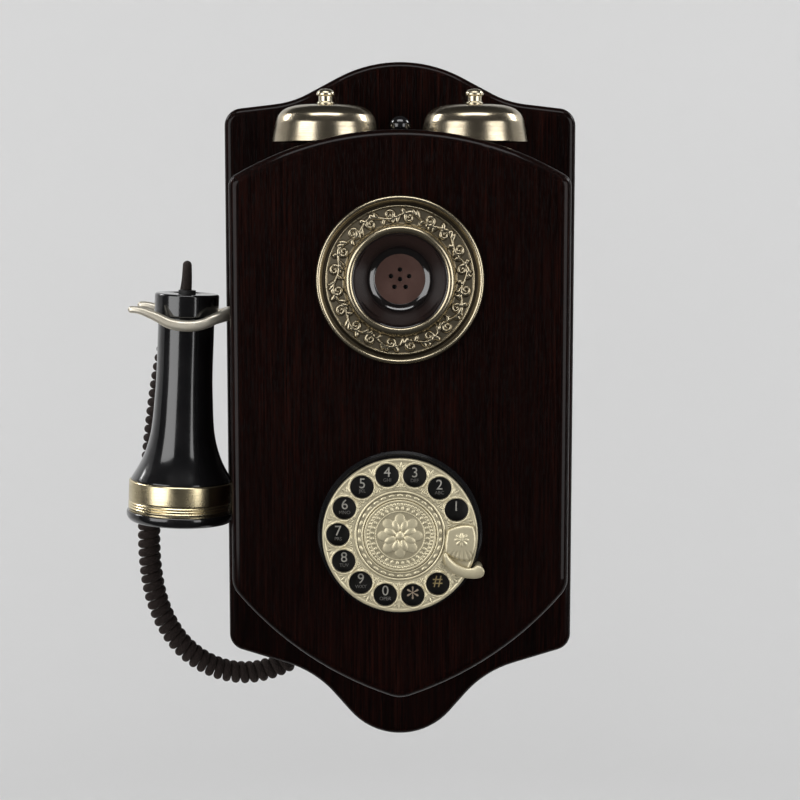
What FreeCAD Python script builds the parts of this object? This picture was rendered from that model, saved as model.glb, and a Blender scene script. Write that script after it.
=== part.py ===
"""Wall telephone in a wooden case, with a dial, a mouthpiece, two gongs and a hook for its receiver.

Millimetres, +Z up.  The wall is the plane y = 0 and the front faces -Y.  The origin lies on the
wall, midway between the two keyholes that the telephone hangs from.
"""
import FreeCAD, Part
import math
import os

V = FreeCAD.Vector

# ---- depth of the wooden case, from the wall forwards --------------------------------------
gong_radius = 28.0
gong_room = 2.0             # clear behind and in front of a gong
ear_cap_radius = 28.7
ear_room = 1.3              # clear between the receiver and the back board
batten_depth = 16.0
board_depth = 15.0
box_depth = 2 * max(gong_radius + gong_room, ear_cap_radius + ear_room)
panel_depth = 12.0
board_back = -batten_depth
board_front = board_back - board_depth
box_front = board_front - box_depth
box_middle = board_front - box_depth / 2
panel_front = box_front - panel_depth

# ---- back board: crown, straight sides and tail ---------------------------------------------
board_width = 190.5
board_side = 296.8
hang_drop = 29.8            # keyholes below the upper corners
board_corner_radius = 9.5
board_edge_radius = 4.0
crown_height = 35.3         # of the crown's tangents above the upper corners
crown_half = 58.3
crown_foot_rise = 4.4
crown_radius = 72.0
crown_foot_radius = 50.0
tail_height = 69.5
tail_half = 47.6
tail_foot_drop = 14.7
tail_radius = 36.8
tail_foot_radius = 57.0
board_half = board_width / 2
board_top = hang_drop
board_bottom = hang_drop - board_side

# ---- front panel ----------------------------------------------------------------------------
panel_reveal = 8.05         # back board showing beside the panel
arch_spring_drop = 36.8     # panel's upper corners below the back board's
arch_radius = 165.0
knee_rise = 49.0            # panel's lower corners above the back board's
toe_drop = 59.5             # panel's point below its lower corners
toe_radius = 178.0
toe_tip_radius = 15.0
arch_corner_radius = 7.0
knee_radius = 14.0
panel_edge_radius = 5.0
least_corner = 0.5
panel_half = board_half - panel_reveal
panel_spring = board_top - arch_spring_drop
panel_knee = board_bottom + knee_rise
panel_toe = panel_knee - toe_drop

# ---- box behind the panel -------------------------------------------------------------------
wall_inset = 2.0
wall_thickness = 10.0
deck_drop = 3.1             # deck below the panel's upper corners
deck_thickness = 10.0
wall_outer = panel_half - wall_inset
wall_inner = wall_outer - wall_thickness
deck_top = panel_spring - deck_drop
deck_bottom = deck_top - deck_thickness

# ---- rear battens and hanger plates ---------------------------------------------------------
batten_width = 20.0
batten_inset = 25.0
top_batten_height = 34.0
batten_above_line = 14.0
bottom_batten_rise = 15.0   # above the back board's lower corners
batten_outer = board_half - batten_inset
batten_top = batten_above_line
batten_low = board_bottom + bottom_batten_rise
key_spacing = 100.0
key_hole_radius = 4.5
key_slot_width = 4.6
key_slot_rise = 9.0
plate_thickness = 1.6
plate_width = 18.0
plate_height = 28.0
plate_corner_radius = 3.0
plate_centre_rise = 2.0     # plate's centre above its keyhole
pocket_depth = 9.0
pocket_clearance = 1.2
plate_screw_radius = 1.5
plate_screw_length = 9.0
plate_screw_head_radius = 2.6
plate_screw_head = 1.0
plate_screw_offset = 11.0

# ---- case screws ----------------------------------------------------------------------------
case_screw_radius = 2.0
case_screw_head_radius = 3.8
case_screw_head = 2.2
case_screw_bite = 14.0
case_screw_levels = (0.16, 0.5, 0.84)

# ---- gongs and ringer -----------------------------------------------------------------------
gong_height = 19.2
gong_wall = 1.6
gong_gap = 22.0             # between the two rims
gong_stand = 22.5           # rim above the deck
gong_bore_radius = 3.1
post_radius = 4.0
post_foot_radius = 8.0
post_foot = 2.0
post_thread_radius = 2.9
nut_radius = 4.8
nut_height = 8.2
nut_bore_depth = 5.0
gong_behind = 0.5           # gongs in front of the box's middle
gong_y = box_middle - gong_behind
gong_x = gong_radius + gong_gap / 2
rim_z = deck_top + gong_stand
crown_z = rim_z + gong_height
ball_radius = 5.5
ball_above_rim = 8.0
clapper_rod_radius = 1.3
clapper_pivot_drop = 24.0   # below the underside of the deck
clapper_swing = 5.6         # degrees each way
clapper_slot_clearance = 1.5
ringer_coil_radius = 9.0
ringer_coil_length = 18.0
ringer_core_radius = 3.0
ringer_core_gap = 2.3
ringer_plate = 2.0
armature_width = 8.0
armature_length = 34.0
armature_thickness = 2.5
ringer_pin_radius = 1.5
running_clearance = 0.05
piece_clearance = 0.4

# ---- mouthpiece -----------------------------------------------------------------------------
mouth_drop = 58.1           # centre below the hanging line
mouth_radius = 42.8
mouth_rim = 5.0             # bead and groove outside the band
mouth_bead = 4.6
mouth_band_height = 4.8
mouth_lip_inner = 24.9
mouth_lip_width = 2.3
mouth_lip_height = 8.2
mouth_bore_room = 0.6
horn_gap = 0.3              # between the horn and the brass lip
horn_rim_height = 6.6
horn_floor_depth = 8.0      # bowl's floor behind the panel's face
horn_floor_radius = 12.9
horn_neck_radius = 20.0
grille_thickness = 1.8
grille_hole_radius = 1.2
grille_hole_circle = 4.9
grille_holes = 5
capsule_radius = 9.7
capsule_gap = 0.4
capsule_depth = 6.5
mouth_nut_width = 10.0
mouth_nut_depth = 4.0
mouth_z = -mouth_drop
mouth_band_outer = mouth_radius - mouth_rim
mouth_band_inner = mouth_lip_inner + mouth_lip_width
horn_radius = mouth_lip_inner - horn_gap
mouth_bore_radius = mouth_lip_inner + mouth_bore_room
mouth_nut_radius = horn_neck_radius + mouth_nut_width

# ---- dial -----------------------------------------------------------------------------------
dial_drop = 187.9
wheel_radius = 39.8
wheel_thickness = 2.6
wheel_stand = 9.3           # wheel's back in front of the panel
finger_holes = 12
finger_places = 14
finger_hole_radius = 6.0
finger_circle_inset = 8.1   # hole circle inside the wheel's rim
first_hole_angle = 24.8
medallion_radius = 18.6
medallion_gap = 0.25
medallion_seat = 1.2
medallion_proud = 0.9
base_margin = 2.6           # pan showing round the wheel
base_flange = 4.0
can_radius = 30.0
can_wall = 1.6
can_depth = 22.0
dial_bore_clearance = 0.4
number_plate_inset = 1.2
number_plate_thickness = 1.2
hub_radius = 8.5
hub_length = 3.4
shaft_radius = 3.0
gear_module = 1.0
gear_teeth = 48
pinion_teeth = 12
gear_thickness = 3.0
gear_gap = 1.2              # between the can and the gear
bridge_gap = 2.0
bridge_plate = 1.6
bridge_width = 16.0
pillar_radius = 2.2
pillar_boss = 2.0           # pillar's foot wider than the pillar
pillar_inset = 2.0
pillar_spread = 0.72        # of the gears' centre distance
damper_radius = 7.5
damper_depth = 6.0
damper_shaft_radius = 1.5
stop_thickness = 1.6
stop_gap = 1.2
stop_leaf_from = 10.0
stop_leaf_to = -17.0
stop_arm_angle = -28.5
stop_leaf_margin = 4.4      # leaf outside the medallion
stop_reach_past = 5.6       # arm past the wheel's rim
stop_arm_radius = 3.2
stop_arm_proud = 0.8
spring_turns = 5
spring_inner = 6.0
spring_pitch = 1.8
spring_band = 0.5
spring_height = 4.0
dial_z = -dial_drop
finger_circle = wheel_radius - finger_circle_inset
base_radius = wheel_radius + base_margin
number_plate_radius = wheel_radius - number_plate_inset
stop_leaf_inner = medallion_radius + stop_leaf_margin
stop_arm_reach = wheel_radius + stop_reach_past

# ---- receiver -------------------------------------------------------------------------------
neck_radius = 14.9
cap_overhang = 2.1
cap_radius = neck_radius + cap_overhang
cap_clearance = 2.3         # between the cap and the hook's yoke
yoke_width = 6.7
yoke_wall_gap = 2.3         # between the yoke and the box
seat_outside = cap_radius + cap_clearance + yoke_width + yoke_wall_gap
seat_x = -wall_outer - seat_outside     # receiver's axis, at the underside of its cap
seat_y = box_middle
seat_z = -79.4
lean = 2.5                  # degrees, foot outwards
cap_height = 12.0
cap_edge = 1.2
shell_wall = 2.2
shell_length = 88.0
band_inset = 0.9            # band's face inside the ear cap's
mouth_inset = 1.7           # bell's edge inside the ear cap's
band_radius = ear_cap_radius - band_inset
shell_mouth_radius = ear_cap_radius - mouth_inset
band_height = 16.5
band_wall = 2.4
ear_cap_height = 5.6
ear_rim_width = 6.7
ear_dish_radius = ear_cap_radius - ear_rim_width
ear_dish_depth = 2.6
ear_hole_radius = 1.1
ear_hole_circle = 6.0
ear_holes = 6
speaker_room = 4.4          # between the capsule and the band's inner wall
speaker_radius = band_radius - band_wall - speaker_room
speaker_depth = 9.0
magnet_radius = 12.0
magnet_depth = 8.0
gland_radius = 4.6
gland_collar = 1.6
gland_stem_radius = 3.2

# ---- hook -----------------------------------------------------------------------------------
neck_clearance = 0.7        # between the neck and each prong
prong_gap = 2 * (neck_radius + neck_clearance)
prong_width = 6.0
tip_round = 1.9
yoke_below = 2.0            # yoke's underside below the seat
yoke_above = 4.4
yoke_near = cap_radius + cap_clearance
yoke_far = yoke_near + yoke_width
shank_width = 12.0
shank_height = 6.0
shank_rise = 1.0            # shank's centre above the seat
pivot_inside = 13.2         # pivot inside the wall's inner face
pivot_x = -wall_inner + pivot_inside
pivot_boss_radius = 5.0
hook_pin_radius = 2.0
hook_swing = 8.0            # degrees
hook_tail = 16.0
hook_tail_height = 4.0
slot_clearance = 1.4
bracket_sheet = 1.5
bracket_gap = 1.5
bracket_floor_drop = 15.0
bracket_half = 9.0
switch_width = 14.0
switch_height = 10.0
switch_gap = 5.5
plunger_radius = 1.5
plunger_length = 4.9

# ---- circuit board, line jack, glands and cord ----------------------------------------------
circuit_width = 84.0
circuit_height = 56.0
circuit_thickness = 1.6
circuit_drop = 128.0
standoff_height = 7.0
standoff_radius = 3.0
standoff_screw_radius = 1.6
standoff_inset = 5.0
transformer_size = (22.0, 17.0, 19.0)
terminal_size = (28.0, 10.0, 9.0)
terminals = 4
terminal_well_radius = 2.2
jack_x = 40.0
jack_width = 13.0
jack_height = 15.0
jack_depth = 12.0
jack_wall_gap = 2.0         # between the jack and the wall
jack_opening = (9.8, 6.8, 11.0)
cord_wire = 4.8
coil_diameter = 12.6
cord_gland_x = -42.0        # mouth of the gland, facing the left edge
cord_gland_y = -8.0
cord_gland_z = -275.0
cord_gland_length = 9.0
cord_gland_radius = 4.2
cord_anchor_width = 15.0
cord_anchor_height = 14.0
anchor_wall_gap = 2.0       # between the gland's block and the wall
cord_wire_hole = 2.5
coil_from_run = 6           # the coil starts and ends halfway along these runs of the route
coil_to_run = 19
cord_route = (
    (-112.91, -61.0, -65.81),
    (-112.66, -61.0, -60.02),
    (-113.1, -57.2, -54.4),
    (-113.9, -50.2, -52.4),
    (-114.9, -43.0, -55.4),
    (-116.2, -36.6, -62.6),
    (-119.0, -31.2, -73.2),
    (-123.8, -27.2, -87.4),
    (-129.6, -25.4, -106.0),
    (-134.6, -25.0, -137.0),
    (-138.4, -25.1, -172.0),
    (-140.4, -25.0, -207.0),
    (-138.8, -24.4, -231.0),
    (-134.0, -22.8, -250.0),
    (-125.2, -20.6, -266.2),
    (-114.3, -17.6, -277.2),
    (-101.0, -14.0, -284.6),
    (-86.3, -10.8, -287.2),
    (-71.8, -8.6, -284.4),
    (-60.5, -8.0, -278.6),
    (-50.0, -8.0, -275.0),
    (-42.0, -8.0, -275.0),
)


# ---- plain solids ---------------------------------------------------------------------------
def block(x0, x1, y0, y1, z0, z1):
    """A box between two corners."""
    low = V(min(x0, x1), min(y0, y1), min(z0, z1))
    return Part.makeBox(abs(x1 - x0), abs(y1 - y0), abs(z1 - z0), low)


def rod_y(radius, y0, y1, x=0.0, z=0.0):
    """A cylinder along Y."""
    return Part.makeCylinder(radius, abs(y1 - y0), V(x, min(y0, y1), z), V(0, 1, 0))


def rod_z(radius, z0, z1, x=0.0, y=0.0):
    """A cylinder along Z."""
    return Part.makeCylinder(radius, abs(z1 - z0), V(x, y, min(z0, z1)), V(0, 0, 1))


def rod_x(radius, x0, x1, y=0.0, z=0.0):
    """A cylinder along X."""
    return Part.makeCylinder(radius, abs(x1 - x0), V(min(x0, x1), y, z), V(1, 0, 0))


def tube_y(outer, inner, y0, y1, x=0.0, z=0.0):
    """A ring along Y."""
    past = 1.0
    return rod_y(outer, y0, y1, x, z).cut(rod_y(inner, min(y0, y1) - past, max(y0, y1) + past, x, z))


def turned_y(profile, x, z):
    """A solid turned about a line along Y, from (radius, y) corners."""
    points = [V(radius, y, 0) for radius, y in profile]
    face = Part.Face(Part.makePolygon(points + points[:1]))
    solid = face.revolve(V(0, 0, 0), V(0, 1, 0), 360)
    return solid.translated(V(x, 0, z))


def turned_z(edges, x, y):
    """A solid turned about a line along Z, from edges drawn in the XZ plane."""
    face = Part.Face(Part.Wire(edges))
    solid = face.revolve(V(0, 0, 0), V(0, 0, 1), 360)
    return solid.translated(V(x, y, 0))


def path_z(points):
    """Straight edges through (radius, z) points."""
    corners = [V(radius, 0, z) for radius, z in points]
    return [Part.makeLine(a, b) for a, b in zip(corners, corners[1:])]


def curve_z(points):
    """One smooth edge through (radius, z) points."""
    curve = Part.BSplineCurve()
    curve.interpolate([V(radius, 0, z) for radius, z in points])
    return curve.toShape()


def upright(shape):
    """The same solid, turned right side out when it came inside out."""
    if shape.Volume < 0:
        shape.reverse()
    return shape


def save(name, *solids):
    """Write one node."""
    parts = [upright(solid) for shape in solids for solid in shape.Solids]
    whole = parts[0] if len(parts) == 1 else Part.makeCompound(parts)
    whole.exportStep(os.path.join("parts", name + ".step"))
    built[name] = whole


built = {}


# ---- outlines -------------------------------------------------------------------------------
def rounded_outline(corners):
    """A closed wire in the XZ plane from (x, z, radius) corners joined by straight runs."""
    count = len(corners)
    spots = [V(x, 0, z) for x, z, radius in corners]
    arcs = []
    for index, (x, z, radius) in enumerate(corners):
        here = spots[index]
        before = (spots[index - 1] - here).normalize()
        after = (spots[(index + 1) % count] - here).normalize()
        half = before.getAngle(after) / 2
        reach = radius / math.tan(half)
        inward = (before + after).normalize()
        middle = here + inward * (radius / math.sin(half) - radius)
        arcs.append(Part.Arc(here + before * reach, middle, here + after * reach))
    edges = []
    for index, arc in enumerate(arcs):
        following = arcs[(index + 1) % count]
        edges.append(arc.toShape())
        edges.append(Part.makeLine(arc.EndPoint, following.StartPoint))
    return Part.Wire(edges)


def slab(wire, back, depth):
    """The wire's area, pulled forwards from y = back."""
    return Part.Face(wire).translated(V(0, back, 0)).extrude(V(0, -depth, 0))


def front_edges(solid, front):
    """The edges that lie on the plane y = front."""
    chosen = []
    for edge in solid.Edges:
        box = edge.BoundBox
        if abs(box.YMin - front) < 1e-4 and abs(box.YMax - front) < 1e-4:
            chosen.append(edge)
    return chosen


def depth_edges(solid, spots):
    """The edges along Y that pass through the given (x, z) spots."""
    chosen = []
    for edge in solid.Edges:
        box = edge.BoundBox
        if box.YLength < 1e-4 or box.XLength > 1e-4 or box.ZLength > 1e-4:
            continue
        for x, z in spots:
            if abs(box.XMin - x) < 1e-3 and abs(box.ZMin - z) < 1e-3:
                chosen.append(edge)
    return chosen


def board_outline():
    """Crown, shoulders, straight sides, feet and tail of the back board."""
    right = [
        (crown_half, board_top + crown_foot_rise, crown_foot_radius),
        (board_half, board_top, board_corner_radius),
        (board_half, board_bottom, board_corner_radius),
        (tail_half, board_bottom - tail_foot_drop, tail_foot_radius),
    ]
    left = [(-x, z, radius) for x, z, radius in reversed(right)]
    crown = [(0.0, board_top + crown_height, crown_radius)]
    tail = [(0.0, board_bottom - tail_height, tail_radius)]
    return rounded_outline(crown + right + tail + left)


def arc_about(centre, start, end):
    """The shorter arc from start to end about a centre."""
    radius = (start - centre).Length
    middle = ((start - centre).normalize() + (end - centre).normalize()).normalize()
    return Part.Arc(start, centre + middle * radius, end).toShape()


def arch_centre():
    """The centre of the panel's arch."""
    return V(0, 0, panel_spring - math.sqrt(arch_radius ** 2 - panel_half ** 2))


def toe_centre():
    """The centre of the bowed lower right side, which runs from the knee to the toe."""
    knee = V(panel_half, 0, panel_knee)
    chord = V(0, 0, panel_toe) - knee
    depth = math.sqrt(toe_radius ** 2 - (chord.Length / 2) ** 2)
    outward = V(-chord.z, 0, chord.x).normalize()
    return knee + chord * 0.5 - outward * depth


def mirrored(spot):
    """The same spot on the left."""
    return V(-spot.x, spot.y, spot.z)


def panel_wire(inset):
    """The front panel's outline set in all round, its five corners rounded by tangent arcs."""
    half = panel_half - inset
    arch = arch_radius - inset
    toe = toe_radius - inset
    shoulder_round, knee_round, tip_round = [
        max(radius - inset, least_corner) for radius in (arch_corner_radius, knee_radius, toe_tip_radius)]
    top = arch_centre()
    low = toe_centre()
    rise = math.sqrt((arch - shoulder_round) ** 2 - (half - shoulder_round) ** 2)
    shoulder = V(half - shoulder_round, 0, top.z + rise)
    drop = math.sqrt((toe - knee_round) ** 2 - (half - knee_round - low.x) ** 2)
    knee = V(half - knee_round, 0, low.z - drop)
    tip = V(0, 0, low.z - math.sqrt((toe - tip_round) ** 2 - low.x ** 2))
    arch_end = top + (shoulder - top).normalize() * arch
    side_top = V(half, 0, shoulder.z)
    side_foot = V(half, 0, knee.z)
    bow_start = low + (knee - low).normalize() * toe
    bow_end = low + (tip - low).normalize() * toe
    return Part.Wire([
        arc_about(top, mirrored(arch_end), arch_end),
        arc_about(shoulder, arch_end, side_top),
        Part.makeLine(side_top, side_foot),
        arc_about(knee, side_foot, bow_start),
        arc_about(low, bow_start, bow_end),
        arc_about(tip, bow_end, mirrored(bow_end)),
        arc_about(mirrored(low), mirrored(bow_end), mirrored(bow_start)),
        arc_about(mirrored(knee), mirrored(bow_start), mirrored(side_foot)),
        Part.makeLine(mirrored(side_foot), mirrored(side_top)),
        arc_about(mirrored(shoulder), mirrored(side_top), mirrored(arch_end)),
    ])


# ---- wooden case ----------------------------------------------------------------------------
def key_spots():
    """The x of each keyhole."""
    return (-key_spacing / 2, key_spacing / 2)


def case_screw_spots():
    """(x, z) of each screw through the back board into a side wall."""
    across = (wall_outer + wall_inner) / 2
    height = deck_top - panel_knee
    spots = []
    for side in (-1, 1):
        for level in case_screw_levels:
            spots.append((side * across, panel_knee + height * level))
    return spots


def case_screw(x, z):
    """One wood screw, its head sunk in the back board's rear face."""
    head = rod_y(case_screw_head_radius, board_back - case_screw_head, board_back, x, z)
    shank = rod_y(case_screw_radius, board_front - case_screw_bite, board_back - case_screw_head, x, z)
    return head.fuse(shank)


def case_screws():
    """All the case screws, each a solid of its own."""
    return [case_screw(x, z) for x, z in case_screw_spots()]


def back_board():
    """The board that everything stands on, its front edge rounded."""
    solid = slab(board_outline(), board_back, board_depth)
    solid = solid.makeFillet(board_edge_radius, front_edges(solid, board_front))
    return solid.cut(Part.makeCompound(case_screws())).cut(cord_wire_way())


def wall_ring():
    """The band of wood behind the panel, before it is cut into boards."""
    outer = slab(panel_wire(wall_inset), board_front, box_depth)
    inner = slab(panel_wire(wall_inset + wall_thickness), board_front, box_depth)
    return outer.cut(inner)


def hook_slot():
    """The opening in the left wall for the hook's shank."""
    low = seat_z + shank_rise - shank_height / 2 - slot_clearance
    rise = (wall_outer + pivot_x) * math.sin(math.radians(hook_swing))
    high = low + shank_height + 2 * slot_clearance + rise
    half = shank_width / 2 + slot_clearance
    return block(-wall_outer - 5, -wall_inner + 5, seat_y - half, seat_y + half, low, high)


def side_walls(ring):
    """The two upright boards, the left one slotted for the hook."""
    zones = []
    for side in (-1, 1):
        edge = side * panel_half
        lower = block(edge, side * wall_inner / 2, box_front, board_front, panel_knee, deck_bottom)
        upper = block(edge, side * wall_inner, box_front, board_front, deck_bottom, deck_top)
        zones.append(lower.fuse(upper))
    left_zone, right_zone = zones
    screws = Part.makeCompound(case_screws())
    left = ring.common(left_zone).cut(screws).cut(hook_slot())
    right = ring.common(right_zone).cut(screws)
    return left, right


def lower_walls(ring):
    """The two bowed boards that close the box below, mitred on the centre line."""
    past = 5.0
    low = panel_toe - past
    left_zone = block(-panel_half, 0, box_front - past, board_front + past, low, panel_knee)
    right_zone = block(0, panel_half, box_front - past, board_front + past, low, panel_knee)
    return ring.common(left_zone), ring.common(right_zone)


def clapper_slot():
    """The slot in the deck that the clapper's rod swings in."""
    swing = math.tan(math.radians(clapper_swing)) * (clapper_pivot_drop + deck_thickness)
    half = swing + clapper_rod_radius + clapper_slot_clearance
    deep = clapper_rod_radius + clapper_slot_clearance
    return block(-half, half, gong_y - deep, gong_y + deep, deck_bottom - 1, deck_top + 1)


def top_deck():
    """The shelf that the gongs stand on."""
    shelf = block(-wall_inner, wall_inner, box_front, board_front, deck_bottom, deck_top)
    return shelf.cut(clapper_slot())


def front_panel():
    """The thick front, bored for the mouthpiece and the dial."""
    solid = slab(panel_wire(0.0), box_front, panel_depth)
    solid = solid.makeFillet(panel_edge_radius, front_edges(solid, panel_front))
    mouth = rod_y(mouth_bore_radius, panel_front - 1, box_front + 1, 0, mouth_z)
    dial = rod_y(can_radius + dial_bore_clearance, panel_front - 1, box_front + 1, 0, dial_z)
    return solid.cut(mouth).cut(dial)


def key_pocket(x):
    """The hollow behind one keyhole, for the wall screw's head and shank."""
    half = key_hole_radius + pocket_clearance
    top = key_slot_rise + key_slot_width / 2 + pocket_clearance
    return block(x - half, x + half, -plate_thickness - pocket_depth, -plate_thickness, -half, top)


def plate_screw_spots():
    """(x, z) of each small screw that holds a hanger plate."""
    spots = []
    for x in key_spots():
        for side in (-1, 1):
            spots.append((x, plate_centre_rise + side * plate_screw_offset))
    return spots


def plate_screw(x, z):
    """One small screw, its head flush with the plate's face."""
    head = rod_y(plate_screw_head_radius, -plate_screw_head, 0, x, z)
    return head.fuse(rod_y(plate_screw_radius, -plate_screw_length, -plate_screw_head, x, z))


def plate_screws():
    """All the hanger plate screws."""
    return [plate_screw(x, z) for x, z in plate_screw_spots()]


def plate_blank(x):
    """A hanger plate before its holes."""
    low = plate_centre_rise - plate_height / 2
    plate = block(x - plate_width / 2, x + plate_width / 2, -plate_thickness, 0, low, low + plate_height)
    sides = (x - plate_width / 2, x + plate_width / 2)
    spots = [(side, z) for side in sides for z in (low, low + plate_height)]
    return plate.makeFillet(plate_corner_radius, depth_edges(plate, spots))


def keyhole(x):
    """A round entry with a narrow slot rising from it."""
    entry = rod_y(key_hole_radius, -plate_thickness - 1, 1, x, 0)
    half = key_slot_width / 2
    slot = block(x - half, x + half, -plate_thickness - 1, 1, 0, key_slot_rise)
    return entry.fuse(slot).fuse(rod_y(half, -plate_thickness - 1, 1, x, key_slot_rise))


def hanger_plates():
    """The two steel keyhole plates."""
    screws = Part.makeCompound(plate_screws())
    return [plate_blank(x).cut(keyhole(x)).cut(screws) for x in key_spots()]


def top_batten():
    """The batten that carries the hanger plates."""
    low = batten_top - top_batten_height
    solid = block(-batten_outer, batten_outer, board_back, 0, low, batten_top)
    for x in key_spots():
        solid = solid.cut(plate_blank(x)).cut(key_pocket(x))
    return solid.cut(Part.makeCompound(plate_screws()))


def bottom_batten():
    """The batten that holds the line jack and the cord's gland."""
    solid = block(-batten_outer, batten_outer, board_back, 0, batten_low, batten_low + batten_width)
    return solid.cut(jack_blank())


def side_battens():
    """The two upright battens between the top and bottom ones."""
    low = batten_low + batten_width
    high = batten_top - top_batten_height
    inner = batten_outer - batten_width
    left = block(-batten_outer, -inner, board_back, 0, low, high)
    right = block(inner, batten_outer, board_back, 0, low, high)
    return left, right


# ---- gongs and ringer -----------------------------------------------------------------------
def gong(x):
    """A bell-metal dome with a round shoulder, open below."""
    steps = ((1.0, 0.0), (0.985, 0.24), (0.90, 0.56), (0.70, 0.80), (0.42, 0.95), (0.22, 1.0))
    outer = [(gong_radius * across, rim_z + gong_height * up) for across, up in steps]
    hollow = gong_radius - gong_wall
    inner = [(hollow * across, rim_z + (gong_height - gong_wall) * up) for across, up in steps]
    outer_face = path_z([(0, crown_z), outer[-1]])[0]
    inner_face = path_z([inner[-1], (0, crown_z - gong_wall)])[0]
    rim = path_z([outer[0], inner[0]])[0]
    axis = path_z([(0, crown_z - gong_wall), (0, crown_z)])[0]
    edges = [outer_face, curve_z(outer[::-1]), rim, curve_z(inner), inner_face, axis]
    dome = turned_z(edges, x, gong_y)
    return dome.cut(rod_z(gong_bore_radius, rim_z, crown_z + 1, x, gong_y))


def gong_post(x):
    """The turned pillar under a gong, with the thread that its nut screws on."""
    shoulder = crown_z - gong_wall
    thread_top = crown_z + nut_bore_depth
    profile = [
        (0, deck_top), (post_foot_radius, deck_top), (post_foot_radius, deck_top + post_foot),
        (post_radius, deck_top + post_foot + 2), (post_radius, shoulder),
        (post_thread_radius, shoulder), (post_thread_radius, thread_top), (0, thread_top),
    ]
    return turned_z(path_z(profile + profile[:1]), x, gong_y)


def gong_nut(x):
    """A domed thumb nut on a short neck."""
    top = crown_z + nut_height
    neck = crown_z + 1.6
    outline = [(nut_radius * 0.72, neck), (nut_radius, neck + 1.0), (nut_radius, top - 2.8)]
    dome = curve_z([(nut_radius, top - 2.8), (nut_radius * 0.62, top - 0.9), (0, top)])
    edges = path_z([(0, crown_z), (nut_radius * 0.72, crown_z)] + outline) + [dome]
    edges += path_z([(0, top), (0, crown_z)])
    solid = turned_z(edges, x, gong_y)
    return solid.cut(rod_z(post_thread_radius, crown_z - 1, crown_z + nut_bore_depth, x, gong_y))


def clapper_pivot_z():
    """Height of the clapper's pivot."""
    return deck_bottom - clapper_pivot_drop


def clapper_pivot_gap():
    """Half the space between the ringer's two cheeks."""
    return armature_width / 2 + piece_clearance


def clapper_ball():
    """The ball that strikes the gongs, bored for its rod."""
    ball = Part.makeSphere(ball_radius, V(0, gong_y, rim_z + ball_above_rim))
    return ball.cut(rod_z(clapper_rod_radius, deck_top, rim_z + ball_above_rim, 0, gong_y))


def clapper_rod():
    """The thin rod from the armature up to the ball."""
    foot = clapper_pivot_z() + armature_thickness / 2 + 2
    return rod_z(clapper_rod_radius, foot, rim_z + ball_above_rim, 0, gong_y)


def armature():
    """The rocking bar under the ringer's cores, with the rod's socket on top."""
    z = clapper_pivot_z()
    half = armature_length / 2
    wide = armature_width / 2
    thick = armature_thickness / 2
    bar = block(-half, half, gong_y - wide, gong_y + wide, z - thick, z + thick)
    socket = rod_z(clapper_rod_radius + 1.5, z, z + thick + 5, 0, gong_y)
    boss = rod_y(ringer_pin_radius + 1.6, gong_y - wide, gong_y + wide, 0, z)
    solid = bar.fuse(socket).fuse(boss)
    solid = solid.cut(rod_z(clapper_rod_radius, z + thick + 2, z + 20, 0, gong_y))
    return solid.cut(rod_y(ringer_pin_radius + running_clearance, gong_y - 20, gong_y + 20, 0, z))


def ringer_bracket():
    """The steel yoke under the deck: a plate, two iron cores and two cheeks for the armature's pin."""
    z = clapper_pivot_z()
    half = armature_length / 2 + 4
    reach = ringer_coil_radius + 1
    plate = block(-half, half, gong_y - reach, gong_y + reach, deck_bottom - ringer_plate, deck_bottom)
    solid = plate.cut(clapper_slot().translated(V(0, 0, -ringer_plate)))
    gap = clapper_pivot_gap()
    for side in (-1, 1):
        near = gong_y + side * gap
        cheek = block(-4, 4, near, near + side * ringer_plate, z - 4, deck_bottom)
        solid = solid.fuse(cheek)
    for core in ringer_cores():
        solid = solid.fuse(core)
    return solid.cut(rod_y(ringer_pin_radius, gong_y - 20, gong_y + 20, 0, z))


def ringer_pin():
    """The pin that the armature rocks on."""
    reach = clapper_pivot_gap() + ringer_plate + 0.5
    return rod_y(ringer_pin_radius, gong_y - reach, gong_y + reach, 0, clapper_pivot_z())


def ringer_coil_x():
    """Distance of each coil's axis from the middle."""
    return armature_length / 2 - ringer_core_radius


def ringer_coils():
    """The two windings, each round its core."""
    top = deck_bottom - ringer_plate
    x = ringer_coil_x()
    coils = []
    for side in (-1, 1):
        winding = rod_z(ringer_coil_radius, top - ringer_coil_length, top, side * x, gong_y)
        coils.append(winding.cut(rod_z(ringer_core_radius, top - 50, top + 1, side * x, gong_y)))
    return coils


def ringer_cores():
    """The two iron cores, ending just above the armature."""
    top = deck_bottom - ringer_plate
    low = clapper_pivot_z() + armature_thickness / 2 + ringer_core_gap
    x = ringer_coil_x()
    return [rod_z(ringer_core_radius, low, top, side * x, gong_y) for side in (-1, 1)]


# ---- mouthpiece -----------------------------------------------------------------------------
def mouthpiece_ring():
    """The brass rose: a beaded rim, a groove, a wide band and a raised lip."""
    face = panel_front
    bead = face - mouth_bead
    band = face - mouth_band_height
    lip = face - mouth_lip_height
    profile = [
        (mouth_lip_inner, face),
        (mouth_radius, face),
        (mouth_radius, bead + 1.2),
        (mouth_radius - 1.1, bead),
        (mouth_radius - 2.3, bead + 0.2),
        (mouth_radius - 3.2, bead + 1.6),
        (mouth_band_outer + 0.5, band + 0.9),
        (mouth_band_outer - 0.6, band),
        (mouth_band_inner + 0.6, band - 0.6),
        (mouth_band_inner, lip + 0.9),
        (mouth_band_inner - 0.8, lip),
        (mouth_lip_inner + 0.7, lip),
        (mouth_lip_inner, lip + 0.8),
    ]
    return turned_y(profile, 0, mouth_z)


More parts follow.
